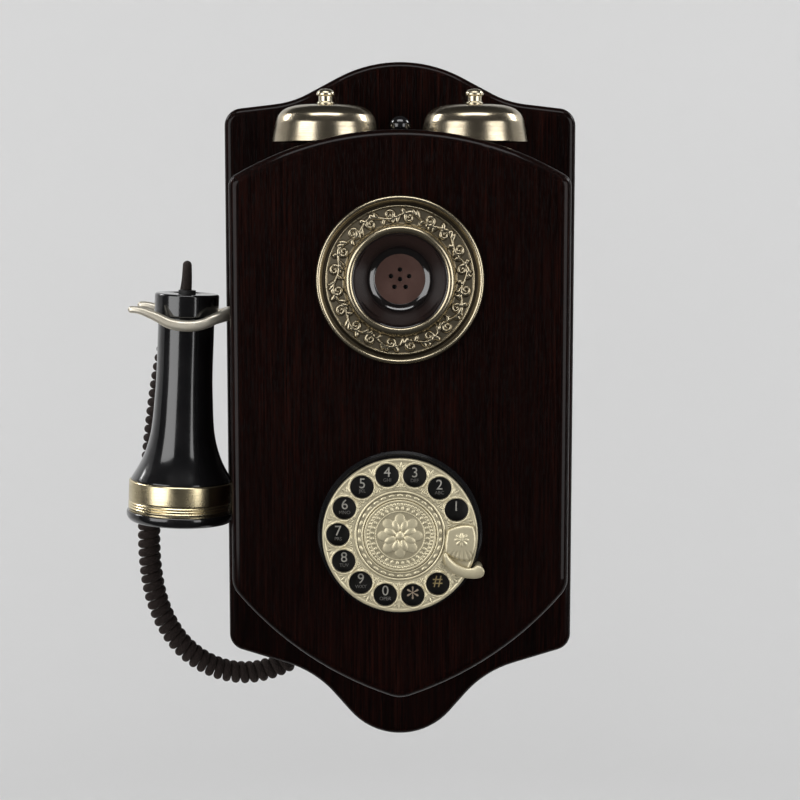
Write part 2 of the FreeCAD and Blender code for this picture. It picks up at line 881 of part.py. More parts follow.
def mouthpiece_horn():
    """The dark bowl that is spoken into, its neck passing through the panel."""
    rim = panel_front - horn_rim_height
    floor = panel_front + horn_floor_depth
    end = box_front + mouth_nut_depth + 1.0
    shelf = floor + grille_thickness
    bore = capsule_radius + capsule_gap
    profile = [
        (horn_floor_radius, floor),
        (horn_floor_radius + 2.2, floor - 3.2),
        (horn_floor_radius + 6.2, floor - 7.2),
        (horn_radius - 1.6, rim + 1.0),
        (horn_radius - 0.6, rim),
        (horn_radius, rim + 0.6),
        (horn_radius, panel_front + 1.5),
        (horn_neck_radius, panel_front + 3.5),
        (horn_neck_radius, end),
        (bore, end),
        (bore, shelf),
        (horn_floor_radius, shelf),
    ]
    return turned_y(profile, 0, mouth_z)


def mouthpiece_grille():
    """The small disc with its speaking holes, at the bottom of the bowl."""
    floor = panel_front + horn_floor_depth
    disc = rod_y(horn_floor_radius, floor, floor + grille_thickness, 0, mouth_z)
    holes = [rod_y(grille_hole_radius, floor - 1, floor + grille_thickness + 1, 0, mouth_z)]
    for index in range(grille_holes):
        turn = math.radians(90 + 360 * index / grille_holes)
        x = grille_hole_circle * math.cos(turn)
        z = mouth_z + grille_hole_circle * math.sin(turn)
        holes.append(rod_y(grille_hole_radius, floor - 1, floor + grille_thickness + 1, x, z))
    return disc.cut(Part.makeCompound(holes))


def microphone():
    """The capsule behind the grille."""
    front = panel_front + horn_floor_depth + grille_thickness + 0.5
    return rod_y(capsule_radius, front, front + capsule_depth, 0, mouth_z)


def mouthpiece_nut():
    """The ring that clamps the horn to the panel from inside."""
    return tube_y(mouth_nut_radius, horn_neck_radius, box_front, box_front + mouth_nut_depth, 0, mouth_z)


# ---- dial -----------------------------------------------------------------------------------
def polar(radius, degrees):
    """(x, z) on a circle round the dial's axis, counted from the right, anticlockwise."""
    turn = math.radians(degrees)
    return radius * math.cos(turn), dial_z + radius * math.sin(turn)


def wheel_back():
    """The plane of the finger wheel's rear face."""
    return panel_front - wheel_stand


def dial_base():
    """The black pan: a flange on the panel, notched for the finger stop, and a can through it."""
    face = panel_front
    end = face + can_depth
    profile = [
        (shaft_radius + 1.5, end), (can_radius, end), (can_radius, face), (base_radius, face),
        (base_radius, face - base_flange + 1.2), (base_radius - 1.2, face - base_flange),
        (can_radius - can_wall, face - base_flange), (can_radius - can_wall, end - can_wall),
        (shaft_radius + 1.5, end - can_wall),
    ]
    return turned_y(profile, 0, dial_z).cut(finger_stop())


def number_plate():
    """The disc of digits seen through the finger holes."""
    back = panel_front - base_flange
    inner = hub_radius + 1.0
    return tube_y(number_plate_radius, inner, back - number_plate_thickness, back, 0, dial_z)


def finger_wheel():
    """The wheel with its finger holes and the seat for the medallion."""
    back = wheel_back()
    front = back - wheel_thickness
    blank = rod_y(wheel_radius, front, back, 0, dial_z)
    blank = blank.makeFillet(0.9, front_edges(blank, front))
    cuts = [rod_y(medallion_radius + medallion_gap, front - 1, front + medallion_seat, 0, dial_z)]
    for index in range(finger_holes):
        x, z = polar(finger_circle, first_hole_angle + index * 360 / finger_places)
        cuts.append(rod_y(finger_hole_radius, front - 1, back + 1, x, z))
    return blank.cut(Part.makeCompound(cuts))


def dial_medallion():
    """The round plate in the middle of the wheel, slightly domed."""
    front = wheel_back() - wheel_thickness
    seat = front + medallion_seat
    profile = [
        (0, seat), (medallion_radius, seat), (medallion_radius, front + 0.1),
        (medallion_radius - 0.6, front - 0.4), (medallion_radius * 0.5, front - medallion_proud + 0.15),
        (0, front - medallion_proud),
    ]
    return turned_y(profile, 0, dial_z)


def gear_plane():
    """The front face of the dial's gear, inside the case."""
    return panel_front + can_depth + gear_gap


def shaft_end():
    """The rear end of the dial's shaft, in the bridge."""
    return gear_plane() + gear_thickness + bridge_gap + bridge_plate


def dial_shaft():
    """The spindle and its flange under the wheel."""
    back = wheel_back()
    flange = rod_y(hub_radius, back, back + hub_length, 0, dial_z)
    return flange.fuse(rod_y(shaft_radius, back + hub_length, shaft_end(), 0, dial_z))


def gear_wire(teeth, phase):
    """The outline of a spur gear with flat-sided teeth, a tooth centred on the phase."""
    pitch = gear_module * teeth / 2
    tip = pitch + 0.75 * gear_module
    root = pitch - 1.05 * gear_module
    step = 360.0 / teeth
    shape = ((-0.36, root), (-0.24, pitch), (-0.10, tip), (0.10, tip), (0.24, pitch), (0.36, root))
    points = []
    for tooth in range(teeth):
        for share, radius in shape:
            turn = math.radians(phase + (tooth + share * 0.86) * step)
            points.append(V(radius * math.cos(turn), 0, radius * math.sin(turn)))
    return Part.makePolygon(points + points[:1])


def gear(teeth, phase, bore, x, z):
    """A spur gear on a round bore."""
    front = gear_plane()
    body = Part.Face(gear_wire(teeth, phase)).extrude(V(0, gear_thickness, 0))
    body = body.translated(V(x, front, z))
    return body.cut(rod_y(bore, front - 1, front + gear_thickness + 1, x, z))


def pinion_offset():
    """Centre distance of the two gears."""
    return gear_module * (gear_teeth + pinion_teeth) / 2


def drive_gear():
    """The large gear on the dial's shaft, a tooth pointing straight down."""
    return gear(gear_teeth, -90.0, shaft_radius, 0, dial_z)


def damper_pinion():
    """The small gear on the speed governor's spindle, a gap pointing straight up."""
    z = dial_z - pinion_offset()
    return gear(pinion_teeth, 90.0 + 180.0 / pinion_teeth, damper_shaft_radius, 0, z)


def damper_spindle():
    """The governor's spindle with its brake disc."""
    z = dial_z - pinion_offset()
    disc_front = shaft_end() + 1.0
    spindle = rod_y(damper_shaft_radius, gear_plane() - 0.6, disc_front, 0, z)
    disc = rod_y(damper_radius - 1.6, disc_front, disc_front + damper_depth - 2.6, 0, z)
    return spindle.fuse(disc)


def damper_housing():
    """The governor's cup, round the brake disc."""
    z = dial_z - pinion_offset()
    front = shaft_end()
    cup = rod_y(damper_radius, front, front + damper_depth, 0, z)
    hollow = rod_y(damper_radius - 1.2, front + 0.6, front + damper_depth - 1.0, 0, z)
    bore = rod_y(damper_shaft_radius + running_clearance, front - 1, front + 2, 0, z)
    return cup.cut(hollow).cut(bore)


def pillar_spots():
    """(x, z) of the pillars that hold the bridge off the can."""
    reach = pinion_offset() - pillar_inset
    across = pillar_spread * pinion_offset()
    return [(0, dial_z + reach), (across, dial_z - across), (-across, dial_z - across)]


def dial_frame():
    """The steel plate on the back of the can, bored for the shaft, with the bridge's pillars."""
    end = panel_front + can_depth
    thin = gear_gap - 0.6
    plate = tube_y(can_radius + 2.0, shaft_radius + running_clearance, end, end + thin, 0, dial_z)
    for x, z in pillar_spots():
        plate = plate.fuse(rod_y(pillar_radius + pillar_boss, end, end + thin, x, z))
        plate = plate.fuse(rod_y(pillar_radius, end, shaft_end() - bridge_plate, x, z))
    return plate.removeSplitter()


def dial_bridge():
    """The rear plate, bored for the shaft and the governor's spindle."""
    front = shaft_end() - bridge_plate
    spots = pillar_spots()
    half = bridge_width / 2
    top = spots[0][1]
    low = dial_z - pinion_offset()
    plate = block(-half, half, front, front + bridge_plate, low, top)
    plate = plate.fuse(rod_y(half, front, front + bridge_plate, 0, low))
    side, foot = spots[1]
    boss = pillar_radius + pillar_boss
    plate = plate.fuse(block(-side, side, front, front + bridge_plate, foot - boss, foot + boss))
    for x, z in spots:
        plate = plate.fuse(rod_y(boss, front, front + bridge_plate, x, z))
    plate = plate.cut(rod_y(shaft_radius + running_clearance, front - 1, front + 5, 0, dial_z))
    plate = plate.cut(rod_y(damper_shaft_radius + running_clearance, front - 1, front + 5, 0, low))
    return plate.removeSplitter()


def return_spring():
    """The flat spiral spring that turns the dial back, built of half turns."""
    front = panel_front + 4.0
    turns = []
    for half_turn in range(2 * spring_turns):
        shift = 0 if half_turn % 2 == 0 else spring_pitch / 2
        radius = spring_inner + half_turn * spring_pitch / 2
        ring = tube_y(radius + spring_band, radius, front, front + spring_height, shift, dial_z)
        reach = 2 * radius
        low, high = (dial_z, dial_z + reach) if half_turn % 2 == 0 else (dial_z - reach, dial_z)
        turns.append(ring.common(block(-reach, reach, front - 1, front + spring_height + 1, low, high)))
    spring = turns[0]
    for turn in turns[1:]:
        spring = spring.fuse(turn)
    return spring.removeSplitter()


def stop_sector(inner, outer, start, end, front, back):
    """A flat plate between two radii and two angles round the dial's axis."""
    def spot(radius, degrees):
        x, z = polar(radius, degrees)
        return V(x, 0, z)
    middle = (start + end) / 2
    edges = [
        Part.Arc(spot(outer, start), spot(outer, middle), spot(outer, end)).toShape(),
        Part.makeLine(spot(outer, end), spot(inner, end)),
        Part.Arc(spot(inner, end), spot(inner, middle), spot(inner, start)).toShape(),
        Part.makeLine(spot(inner, start), spot(outer, start)),
    ]
    return Part.Face(Part.Wire(edges)).translated(V(0, back, 0)).extrude(V(0, front - back, 0))


def finger_stop():
    """The leaf over the wheel's blank places, its curved arm, and the foot outside the wheel."""
    back = wheel_back() - wheel_thickness - stop_gap
    front = back - stop_thickness
    proud = front - stop_arm_proud
    leaf = stop_sector(stop_leaf_inner, wheel_radius - 0.6, stop_leaf_from, stop_leaf_to, front, back)
    arm_end = stop_arm_angle + 3
    arm = stop_sector(stop_leaf_inner + 3, stop_arm_reach - 2, stop_leaf_to + 1, arm_end, proud, back)
    x, z = polar(stop_arm_reach - stop_arm_radius / 2, stop_arm_angle + 4)
    tip = rod_y(stop_arm_radius, proud, back, x, z)
    foot = rod_y(stop_arm_radius - 0.6, front, panel_front, x, z)
    return leaf.fuse(arm).fuse(tip).fuse(foot).removeSplitter()


# ---- receiver -------------------------------------------------------------------------------
def placed(shape):
    """Move a receiver piece from its own upright axis to the hook, leaning."""
    moved = shape.copy()
    moved.rotate(V(0, 0, 0), V(0, 1, 0), lean)
    moved.translate(V(seat_x, seat_y, seat_z))
    return moved


def flare(inset):
    """(radius, z) along the neck and bell, set in by a wall."""
    spots = ((0.0, 30.0), (0.5, 43.0), (2.0, 62.0), (5.8, 76.0))
    points = [(neck_radius + out - inset, -down) for out, down in spots]
    points.append((shell_mouth_radius - inset, -shell_length))
    return points


def receiver_shell():
    """The long neck that swells into a bell."""
    outer = flare(0.0)
    inner = flare(shell_wall)
    edges = path_z([(neck_radius, 0), outer[0]]) + [curve_z(outer)]
    edges += path_z([outer[-1], inner[-1]]) + [curve_z(inner[::-1])]
    edges += path_z([inner[0], (neck_radius - shell_wall, 0), (neck_radius, 0)])
    return placed(turned_z(edges, 0, 0))


def receiver_cap():
    """The cap that rests on the hook, with a spigot inside the neck and a hole for the gland."""
    spigot = neck_radius - shell_wall
    rise = cap_radius - cap_edge
    profile = [
        (gland_stem_radius, cap_height), (rise, cap_height), (cap_radius, cap_height - cap_edge),
        (cap_radius, 0.8), (cap_radius - 0.8, 0), (spigot, 0), (spigot, -6), (spigot - 2, -6),
        (spigot - 2, cap_height - 2.5), (gland_stem_radius, cap_height - 2.5),
    ]
    return placed(turned_z(path_z(profile + profile[:1]), 0, 0))


def receiver_gland():
    """The collar where the cord leaves the cap."""
    top = cap_height + gland_collar
    stem = rod_z(gland_stem_radius, cap_height - 4, cap_height)
    return placed(stem.fuse(rod_z(gland_radius, cap_height, top)))


def receiver_band():
    """The brass band round the bell's mouth, with fine ridges near its foot."""
    top = -shell_length
    low = top - band_height
    ridge = 0.5
    profile = [(band_radius - band_wall, low), (band_radius - band_wall, top), (shell_mouth_radius, top),
               (band_radius, top - 0.8), (band_radius, low + 6.0)]
    for step in range(3):
        z = low + 5.2 - 1.4 * step
        profile += [(band_radius - ridge, z), (band_radius + 0.2, z - 0.7)]
    profile += [(band_radius - ridge, low + 0.8), (band_radius - ridge, low)]
    return placed(turned_z(path_z(profile + profile[:1]), 0, 0))


def ear_cap():
    """The screwed cap held to the ear, dished and pierced."""
    top = -shell_length - band_height
    low = top - ear_cap_height
    rise = band_radius - band_wall
    profile = [
        (0, top - 1.0), (rise - 2.0, top - 1.0), (rise - 2.0, top + 5.0), (rise, top + 5.0), (rise, top),
        (ear_cap_radius - 0.5, top), (ear_cap_radius, top - 0.6), (ear_cap_radius, low + 2.2),
        (ear_cap_radius - 1.8, low), (ear_dish_radius, low), (ear_dish_radius - 3.0, low + 0.9),
        (6.5, low + ear_dish_depth), (0, low + ear_dish_depth),
    ]
    solid = turned_z(path_z(profile + profile[:1]), 0, 0)
    holes = [rod_z(ear_hole_radius, low - 1, top + 1)]
    for index in range(ear_holes):
        turn = 2 * math.pi * index / ear_holes
        x = ear_hole_circle * math.cos(turn)
        y = ear_hole_circle * math.sin(turn)
        holes.append(rod_z(ear_hole_radius, low - 1, top + 1, x, y))
    return placed(solid.cut(Part.makeCompound(holes)))


def speaker():
    """The sounding capsule over the ear cap."""
    low = -shell_length - band_height - 0.6
    return placed(rod_z(speaker_radius, low, low + speaker_depth))


def speaker_magnet():
    """The magnet on the capsule's back."""
    low = -shell_length - band_height - 0.6 + speaker_depth
    return placed(rod_z(magnet_radius, low, low + magnet_depth))


# ---- hook -----------------------------------------------------------------------------------
def prong_spots(shares, rises):
    """Points of a prong's outline: shares of the cap's radius along it, rises above the seat."""
    return [V(seat_x + share * cap_radius, 0, seat_z + rise) for share, rise in zip(shares, rises)]


def through(spots):
    """One smooth edge through the spots."""
    curve = Part.BSplineCurve()
    curve.interpolate(spots)
    return curve.toShape()


def prong_outline():
    """The side view of a prong: up-curled tip, dip under the cap, rise to the yoke."""
    top = prong_spots(
        (-1.68, -1.29, -0.82, -0.39, 0.15, 0.59, 1.0, 1.41),
        (6.6, 6.0, 3.0, -0.7, -2.1, -0.9, 2.9, 5.2))
    low = prong_spots(
        (1.41, 1.0, 0.62, 0.12, -0.35, -0.85, -1.29, -1.68),
        (-1.6, -3.9, -6.0, -6.9, -5.2, -1.0, 2.2, 2.9))
    tip = (top[0] + low[-1]) * 0.5 - V(tip_round, 0, 0)
    return Part.Wire([
        through(top),
        Part.makeLine(top[-1], low[0]),
        through(low),
        Part.Arc(low[-1], tip, top[0]).toShape(),
    ])


def pivot_z():
    """Height of the hook's pivot."""
    return seat_z + shank_rise


def hook_lever():
    """The fork, its shank through the wall, its boss and its tail over the switch."""
    face = Part.Face(prong_outline())
    gap = prong_gap / 2
    front = face.translated(V(0, seat_y - gap, 0)).extrude(V(0, -prong_width, 0))
    rear = face.translated(V(0, seat_y + gap, 0)).extrude(V(0, prong_width, 0))
    reach = gap + prong_width
    z = pivot_z()
    near = seat_x + yoke_near
    far = seat_x + yoke_far
    yoke = block(near, far, seat_y - reach, seat_y + reach, seat_z - yoke_below, seat_z + yoke_above)
    half = shank_width / 2
    thick = shank_height / 2
    shank = block(far - 2, pivot_x, seat_y - half, seat_y + half, z - thick, z + thick)
    boss = rod_y(pivot_boss_radius, seat_y - half, seat_y + half, pivot_x, z)
    tail = hook_tail_height / 2
    arm = block(pivot_x, pivot_x + hook_tail, seat_y - half, seat_y + half, z - tail, z + tail)
    solid = front.fuse(yoke).fuse(rear).fuse(shank).fuse(boss).fuse(arm).removeSplitter()
    bore = rod_y(hook_pin_radius + running_clearance, seat_y - 20, seat_y + 20, pivot_x, z)
    return solid.cut(bore)


def cheek_planes():
    """The inner faces of the hook bracket's cheeks."""
    half = shank_width / 2 + bracket_gap
    return seat_y - half, seat_y + half


def hook_bracket():
    """The folded steel bracket on the back board that carries the pivot pin and the switch."""
    near, far = cheek_planes()
    z = pivot_z()
    floor = z - bracket_floor_drop
    left = pivot_x - bracket_half
    right = pivot_x + bracket_half
    base = block(left, right, near - bracket_sheet, board_front, floor, floor + bracket_sheet)
    foot = block(left, right, board_front - bracket_sheet, board_front, floor - 12, floor + bracket_sheet)
    front_cheek = block(left, right, near - bracket_sheet, near, floor, z + bracket_half)
    rear_cheek = block(left, pivot_x + hook_tail + 6, far, far + bracket_sheet, floor, z + 22)
    solid = base.fuse(foot).fuse(front_cheek).fuse(rear_cheek).removeSplitter()
    return solid.cut(rod_y(hook_pin_radius, near - 5, far + 5, pivot_x, z))


def hook_pin():
    """The pin that the hook turns on."""
    near, far = cheek_planes()
    return rod_y(hook_pin_radius, near - bracket_sheet - 1, far + bracket_sheet + 1, pivot_x, pivot_z())


def switch_low():
    """The underside of the hook switch."""
    return pivot_z() + hook_tail_height / 2 + switch_gap


def switch_x():
    """The middle of the hook switch."""
    return pivot_x + hook_tail - 4.0


def hook_switch():
    """The line switch on the bracket's rear cheek, with a guide hole for its plunger."""
    near, far = cheek_planes()
    x = switch_x()
    half = switch_width / 2
    low = switch_low()
    body = block(x - half, x + half, far - switch_width, far, low, low + switch_height)
    return body.cut(rod_z(plunger_radius + running_clearance, low - 1, low + 6, x, seat_y))


def switch_plunger():
    """The plunger that the hook's tail pushes in."""
    low = pivot_z() + hook_tail_height / 2 + piece_clearance
    high = low + switch_gap - piece_clearance + plunger_length
    return rod_z(plunger_radius, low, high, switch_x(), seat_y)


# ---- circuit board, jack and glands ---------------------------------------------------------
def circuit_front():
    """The front face of the circuit board."""
    return board_front - standoff_height - circuit_thickness


def circuit_board():
    """The printed board with its four fixing holes."""
    low = -circuit_drop - circuit_height / 2
    half = circuit_width / 2
    front = circuit_front()
    solid = block(-half, half, front, front + circuit_thickness, low, low + circuit_height)
    holes = [rod_y(standoff_screw_radius, front - 1, front + 5, x, z) for x, z in standoff_spots()]
    return solid.cut(Part.makeCompound(holes))


def standoff_spots():
    """(x, z) of the circuit board's standoffs."""
    half = circuit_width / 2 - standoff_inset
    tall = circuit_height / 2 - standoff_inset
    return [(x, -circuit_drop + z) for x in (-half, half) for z in (-tall, tall)]


def standoffs():
    """The four pillars, each with the screw end that holds the board."""
    solids = []
    for x, z in standoff_spots():
        shoulder = board_front - standoff_height
        foot = rod_y(standoff_radius, shoulder, board_front, x, z)
        solids.append(foot.fuse(rod_y(standoff_screw_radius, circuit_front() - 1.2, shoulder, x, z)))
    return solids


def line_transformer():
    """The iron-cored transformer on the circuit board."""
    wide, deep, tall = transformer_size
    front = circuit_front()
    x = -circuit_width / 4
    z = -circuit_drop
    core = block(x - wide / 2, x + wide / 2, front - deep, front, z - tall / 2, z + tall / 2)
    return core.makeFillet(1.2, front_edges(core, front - deep))


def terminal_block():
    """The row of screw terminals along the circuit board's lower edge."""
    wide, deep, tall = terminal_size
    front = circuit_front()
    low = -circuit_drop - circuit_height / 2 + 2
    x = circuit_width / 6
    body = block(x - wide / 2, x + wide / 2, front - deep, front, low, low + tall)
    wells = []
    for index in range(terminals):
        spot = x + (index + 0.5 - terminals / 2) * wide / terminals
        wells.append(rod_y(terminal_well_radius, front - deep - 1, front - deep + 3, spot, low + tall / 2))
    return body.cut(Part.makeCompound(wells))


def jack_blank():
    """The room that the line jack takes in the bottom batten."""
    half = jack_width / 2
    back = -jack_wall_gap
    top = batten_low + jack_height
    return block(jack_x - half, jack_x + half, back - jack_depth, back, batten_low - 1, top)


def line_jack():
    """The socket for the line cord, opening downwards."""
    half = jack_width / 2
    wide, deep, tall = jack_opening
    back = -jack_wall_gap
    middle = back - jack_depth / 2
    top = batten_low + jack_height
    body = block(jack_x - half, jack_x + half, back - jack_depth, back, batten_low, top)
    hole = block(jack_x - wide / 2, jack_x + wide / 2, middle - deep / 2, middle + deep / 2,
                 batten_low - 1, batten_low + tall)
    return body.cut(hole)


def cord_gland():
    """The moulded block behind the back board whose sleeve takes the end of the receiver's cord."""
    near = cord_gland_x + cord_gland_length
    half = cord_anchor_height / 2
    sleeve = rod_x(cord_gland_radius, cord_gland_x, near + 1, cord_gland_y, cord_gland_z)
    far = near + cord_anchor_width
    body = block(near, far, board_back, -anchor_wall_gap, cord_gland_z - half, cord_gland_z + half)
    hole = rod_y(cord_wire_hole, board_back - 1, cord_gland_y, near + cord_anchor_width / 2, cord_gland_z)
    return body.fuse(sleeve).removeSplitter().cut(hole)


def cord_wire_way():
    """The hole through the back board for the cord's wires."""
    x = cord_gland_x + cord_gland_length + cord_anchor_width / 2
    return rod_y(cord_wire_hole, board_front - 1, board_back + 1, x, cord_gland_z)


# ---- cord -----------------------------------------------------------------------------------
def route_points():
    """The route as vectors."""
    return [V(*spot) for spot in cord_route]


def bend_radius(points, index):
    """The arc that fits a corner: 0.45 of the shorter run over the tangent of half the turn."""
    before = points[index] - points[index - 1]
    after = points[index + 1] - points[index]
    turn = before.getAngle(after)
    return 0.45 * min(before.Length, after.Length) / math.tan(turn / 2)


def route_edges(points, first, last, start, end):
    """Straight runs and tangent arcs round the corners first to last, from start to end."""
    edges = []
    here = start
    for index in range(first, last + 1):
        corner = points[index]
        before = (points[index - 1] - corner)
        after = (points[index + 1] - corner)
        reach = 0.45 * min(before.Length, after.Length)
        before.normalize()
        after.normalize()
        half = before.getAngle(after) / 2
        radius = reach * math.tan(half)
        inward = (before + after).normalize()
        middle = corner + inward * (radius / math.sin(half) - radius)
        arc_start = corner + before * reach
        arc_end = corner + after * reach
        edges.append(Part.LineSegment(here, arc_start).toShape())
        edges.append(Part.Arc(arc_start, middle, arc_end).toShape())
        here = arc_end
    edges.append(Part.LineSegment(here, end).toShape())
    return edges


def hose(points, first, last, start, end, diameter):
    """A round tube round the given corners; its volume is checked against section times length."""
    path = Part.Wire(route_edges(points, first, last, start, end))
    along = points[first] - start
    ring = Part.Wire(Part.makeCircle(diameter / 2, start, along))
    solid = path.makePipeShell([ring], True, False)
    expected = math.pi * diameter ** 2 / 4 * path.Length
    print("tube length %.1f, volume %.0f of %.0f" % (path.Length, solid.Volume, expected))
    return solid


def cord_tubes():
    """The straight lead, the coil as one fat tube, and the tail into the gland."""
    points = route_points()
    for index in range(1, len(points) - 1):
        print("corner %d radius %.1f" % (index, bend_radius(points, index)))
    start_cut = (points[coil_from_run] + points[coil_from_run + 1]) * 0.5
    end_cut = (points[coil_to_run] + points[coil_to_run + 1]) * 0.5
    lead = hose(points, 1, coil_from_run, points[0], start_cut, cord_wire)
    coil = hose(points, coil_from_run + 1, coil_to_run, start_cut, end_cut, coil_diameter)
    tail = hose(points, coil_to_run + 1, len(points) - 2, end_cut, points[-1], cord_wire)
    return lead, coil, tail


# ---- all the nodes --------------------------------------------------------------------------
os.makedirs("parts", exist_ok=True)

save("back_board", back_board())
save("batten_top", top_batten())
save("batten_bottom", bottom_batten())
left_batten, right_batten = side_battens()
save("batten_sides", left_batten, right_batten)
save("hanger_plates", *hanger_plates())
save("hanger_screws", *plate_screws())
box_ring = wall_ring()
left_wall, right_wall = side_walls(box_ring)
save("side_wall_left", left_wall)
save("side_wall_right", right_wall)
left_lower, right_lower = lower_walls(box_ring)
save("lower_wall_left", left_lower)
save("lower_wall_right", right_lower)
save("top_deck", top_deck())
save("front_panel", front_panel())
save("case_screws", *case_screws())

save("gong_left", gong(-gong_x))
save("gong_right", gong(gong_x))
save("gong_posts", gong_post(-gong_x), gong_post(gong_x))
save("gong_nuts", gong_nut(-gong_x), gong_nut(gong_x))
save("clapper_ball", clapper_ball())
save("clapper_rod", clapper_rod())
save("clapper_armature", armature())
save("ringer_bracket", ringer_bracket())
save("ringer_pin", ringer_pin())
save("ringer_coils", *ringer_coils())

save("mouthpiece_ring", mouthpiece_ring())
save("mouthpiece_horn", mouthpiece_horn())
save("mouthpiece_grille", mouthpiece_grille())
save("mouthpiece_nut", mouthpiece_nut())
save("microphone_capsule", microphone())

save("dial_base", dial_base())
save("number_plate", number_plate())
save("finger_wheel", finger_wheel())
save("dial_medallion", dial_medallion())
save("dial_shaft", dial_shaft())
save("drive_gear", drive_gear())
save("dial_frame", dial_frame())
save("dial_bridge", dial_bridge())
save("dial_return_spring", return_spring())
save("governor_pinion", damper_pinion())
save("governor_spindle", damper_spindle())
save("governor_housing", damper_housing())
save("finger_stop", finger_stop())

save("receiver_shell", receiver_shell())
save("receiver_cap", receiver_cap())
save("receiver_gland", receiver_gland())
save("receiver_band", receiver_band())
save("ear_cap", ear_cap())
save("receiver_speaker", speaker(), speaker_magnet())

save("hook_lever", hook_lever())
save("hook_bracket", hook_bracket())
save("hook_pin", hook_pin())
save("hook_switch", hook_switch())
save("switch_plunger", switch_plunger())

save("circuit_board", circuit_board())
save("circuit_standoffs", *standoffs())
save("circuit_parts", line_transformer(), terminal_block())
save("line_jack", line_jack())
save("cord_gland", cord_gland())
cord_lead, cord_coil, cord_tail = cord_tubes()
save("handset_cord_lead", cord_lead)
save("handset_cord", cord_coil, cord_tail)
print(len(built), "nodes")
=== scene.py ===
"""The looks of a wooden wall telephone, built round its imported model.

Metres.  The wall is y = 0, the front faces -Y and +Z is up.
"""
from math import cos, pi, radians, sin

import bmesh
import bpy
import numpy as np
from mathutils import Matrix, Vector


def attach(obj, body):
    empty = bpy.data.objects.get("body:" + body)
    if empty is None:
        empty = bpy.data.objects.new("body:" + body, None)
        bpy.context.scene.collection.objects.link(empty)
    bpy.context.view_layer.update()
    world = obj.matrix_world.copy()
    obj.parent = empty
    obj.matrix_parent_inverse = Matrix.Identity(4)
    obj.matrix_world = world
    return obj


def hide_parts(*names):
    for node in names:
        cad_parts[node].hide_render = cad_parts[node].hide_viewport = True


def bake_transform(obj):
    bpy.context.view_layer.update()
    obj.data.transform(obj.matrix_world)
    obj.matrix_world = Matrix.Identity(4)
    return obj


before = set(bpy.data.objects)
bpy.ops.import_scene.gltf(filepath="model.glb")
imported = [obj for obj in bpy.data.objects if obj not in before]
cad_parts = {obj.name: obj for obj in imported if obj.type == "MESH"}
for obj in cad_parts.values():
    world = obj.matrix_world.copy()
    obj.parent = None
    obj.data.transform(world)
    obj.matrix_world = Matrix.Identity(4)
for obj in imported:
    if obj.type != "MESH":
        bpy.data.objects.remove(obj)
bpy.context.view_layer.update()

mm = 0.001

# ---- camera ---------------------------------------------------------------------------------
aim = (0.0, -31 * mm, -128 * mm)     # the spot that the camera looks at
camera_distance = 1.05
camera_elevation = 6.7      # degrees
camera_lens = 85.9
sensor_width = 36.0

# ---- studio ---------------------------------------------------------------------------------
floor_z = -0.85
bowl_radius = 2.7
bowl_curve = 1.1
bowl_height = 2.6
studio_grey = (0.70, 0.70, 0.70)
backdrop_spot = (0.0, 2.5, -0.1)
sky_strength = 0.04
soft_boxes = (              # name, place, size, power, and the spot it looks at
    ("left_box", (-1.15, -1.25, 0.10), (1.15, 1.3), 15, aim),
    ("right_box", (1.25, -1.15, 0.05), (1.05, 1.3), 13, aim),
    ("top_box", (0.0, -0.75, 1.45), (1.5, 0.6), 13, aim),
    ("back_left_lamp", (-1.5, 0.55, 0.9), (0.6, 0.6), 19, backdrop_spot),
    ("back_right_lamp", (1.5, 0.55, 0.9), (0.6, 0.6), 19, backdrop_spot),
)

# ---- receiver's cord ------------------------------------------------------------------------
wire_diameter = 4.8 * mm
coil_diameter = 12.6 * mm
coil_turns = 54
cord_route = (
    (-112.91, -61.0, -65.81),
    (-112.66, -61.0, -60.02),
    (-113.1, -57.2, -54.4),
    (-113.9, -50.2, -52.4),
    (-114.9, -43.0, -55.4),
    (-116.2, -36.6, -62.6),
    (-119.0, -31.2, -73.2),
    (-123.8, -27.2, -87.4),
    (-129.6, -25.4, -106.0),
    (-134.6, -25.0, -137.0),
    (-138.4, -25.1, -172.0),
    (-140.4, -25.0, -207.0),
    (-138.8, -24.4, -231.0),
    (-134.0, -22.8, -250.0),
    (-125.2, -20.6, -266.2),
    (-114.3, -17.6, -277.2),
    (-101.0, -14.0, -284.6),
    (-86.3, -10.8, -287.2),
    (-71.8, -8.6, -284.4),
    (-60.5, -8.0, -278.6),
    (-50.0, -8.0, -275.0),
    (-42.0, -8.0, -275.0),
)
lead_share = 0.172          # of the route, before the coil starts
tail_share = 0.040          # of the route, after the coil ends
coil_ease = 9 * mm          # the coil opens and closes over this stretch of the route
lead_steps = 90             # points of the wire's line before the coil,
turn_steps = 30             # in each turn of it
tail_steps = 24             # and after it
wire_sides = 20
braid_strands = 9


# ---- places and sizes of the detailed pieces, in millimetres and degrees --------------------
panel_front = -103.0
mouth_z = -58.1
rose_bore, rose_radius = 24.75, 42.8
vine_low, vine_middle, vine_high = 28.9, 32.8, 36.9    # radii of the carved band
vine_wave = 1.5             # how far the stem swings either side of its middle line
vine_repeats = 10
vine_stands = 1.0           # how far the vine stands off the band
rose_sides, band_rows = 760, 42
bowl_rim = panel_front - 6.6
bowl_floor = panel_front + 8.0
dial_z = -187.9
wheel_front = -114.9
wheel_thickness = 2.6
wheel_radius = 39.8
wheel_inner_arc = 24.2      # the places' inner and outer edges
wheel_outer_arc = 38.4
medallion_radius = 18.6
seat_gap = 0.25             # round the medallion, in the wheel
seat_depth = 1.25
finger_circle = 31.7
finger_hole_radius = 6.0
finger_holes = 12
finger_places = 14          # twelve holes and two blank places
place_pitch = 360 / finger_places
place_columns, place_rows, place_rings = 44, 30, 26     # quads of one place's grid
first_hole_angle = 24.8
plate_front = -108.2
letter_depth = 0.06
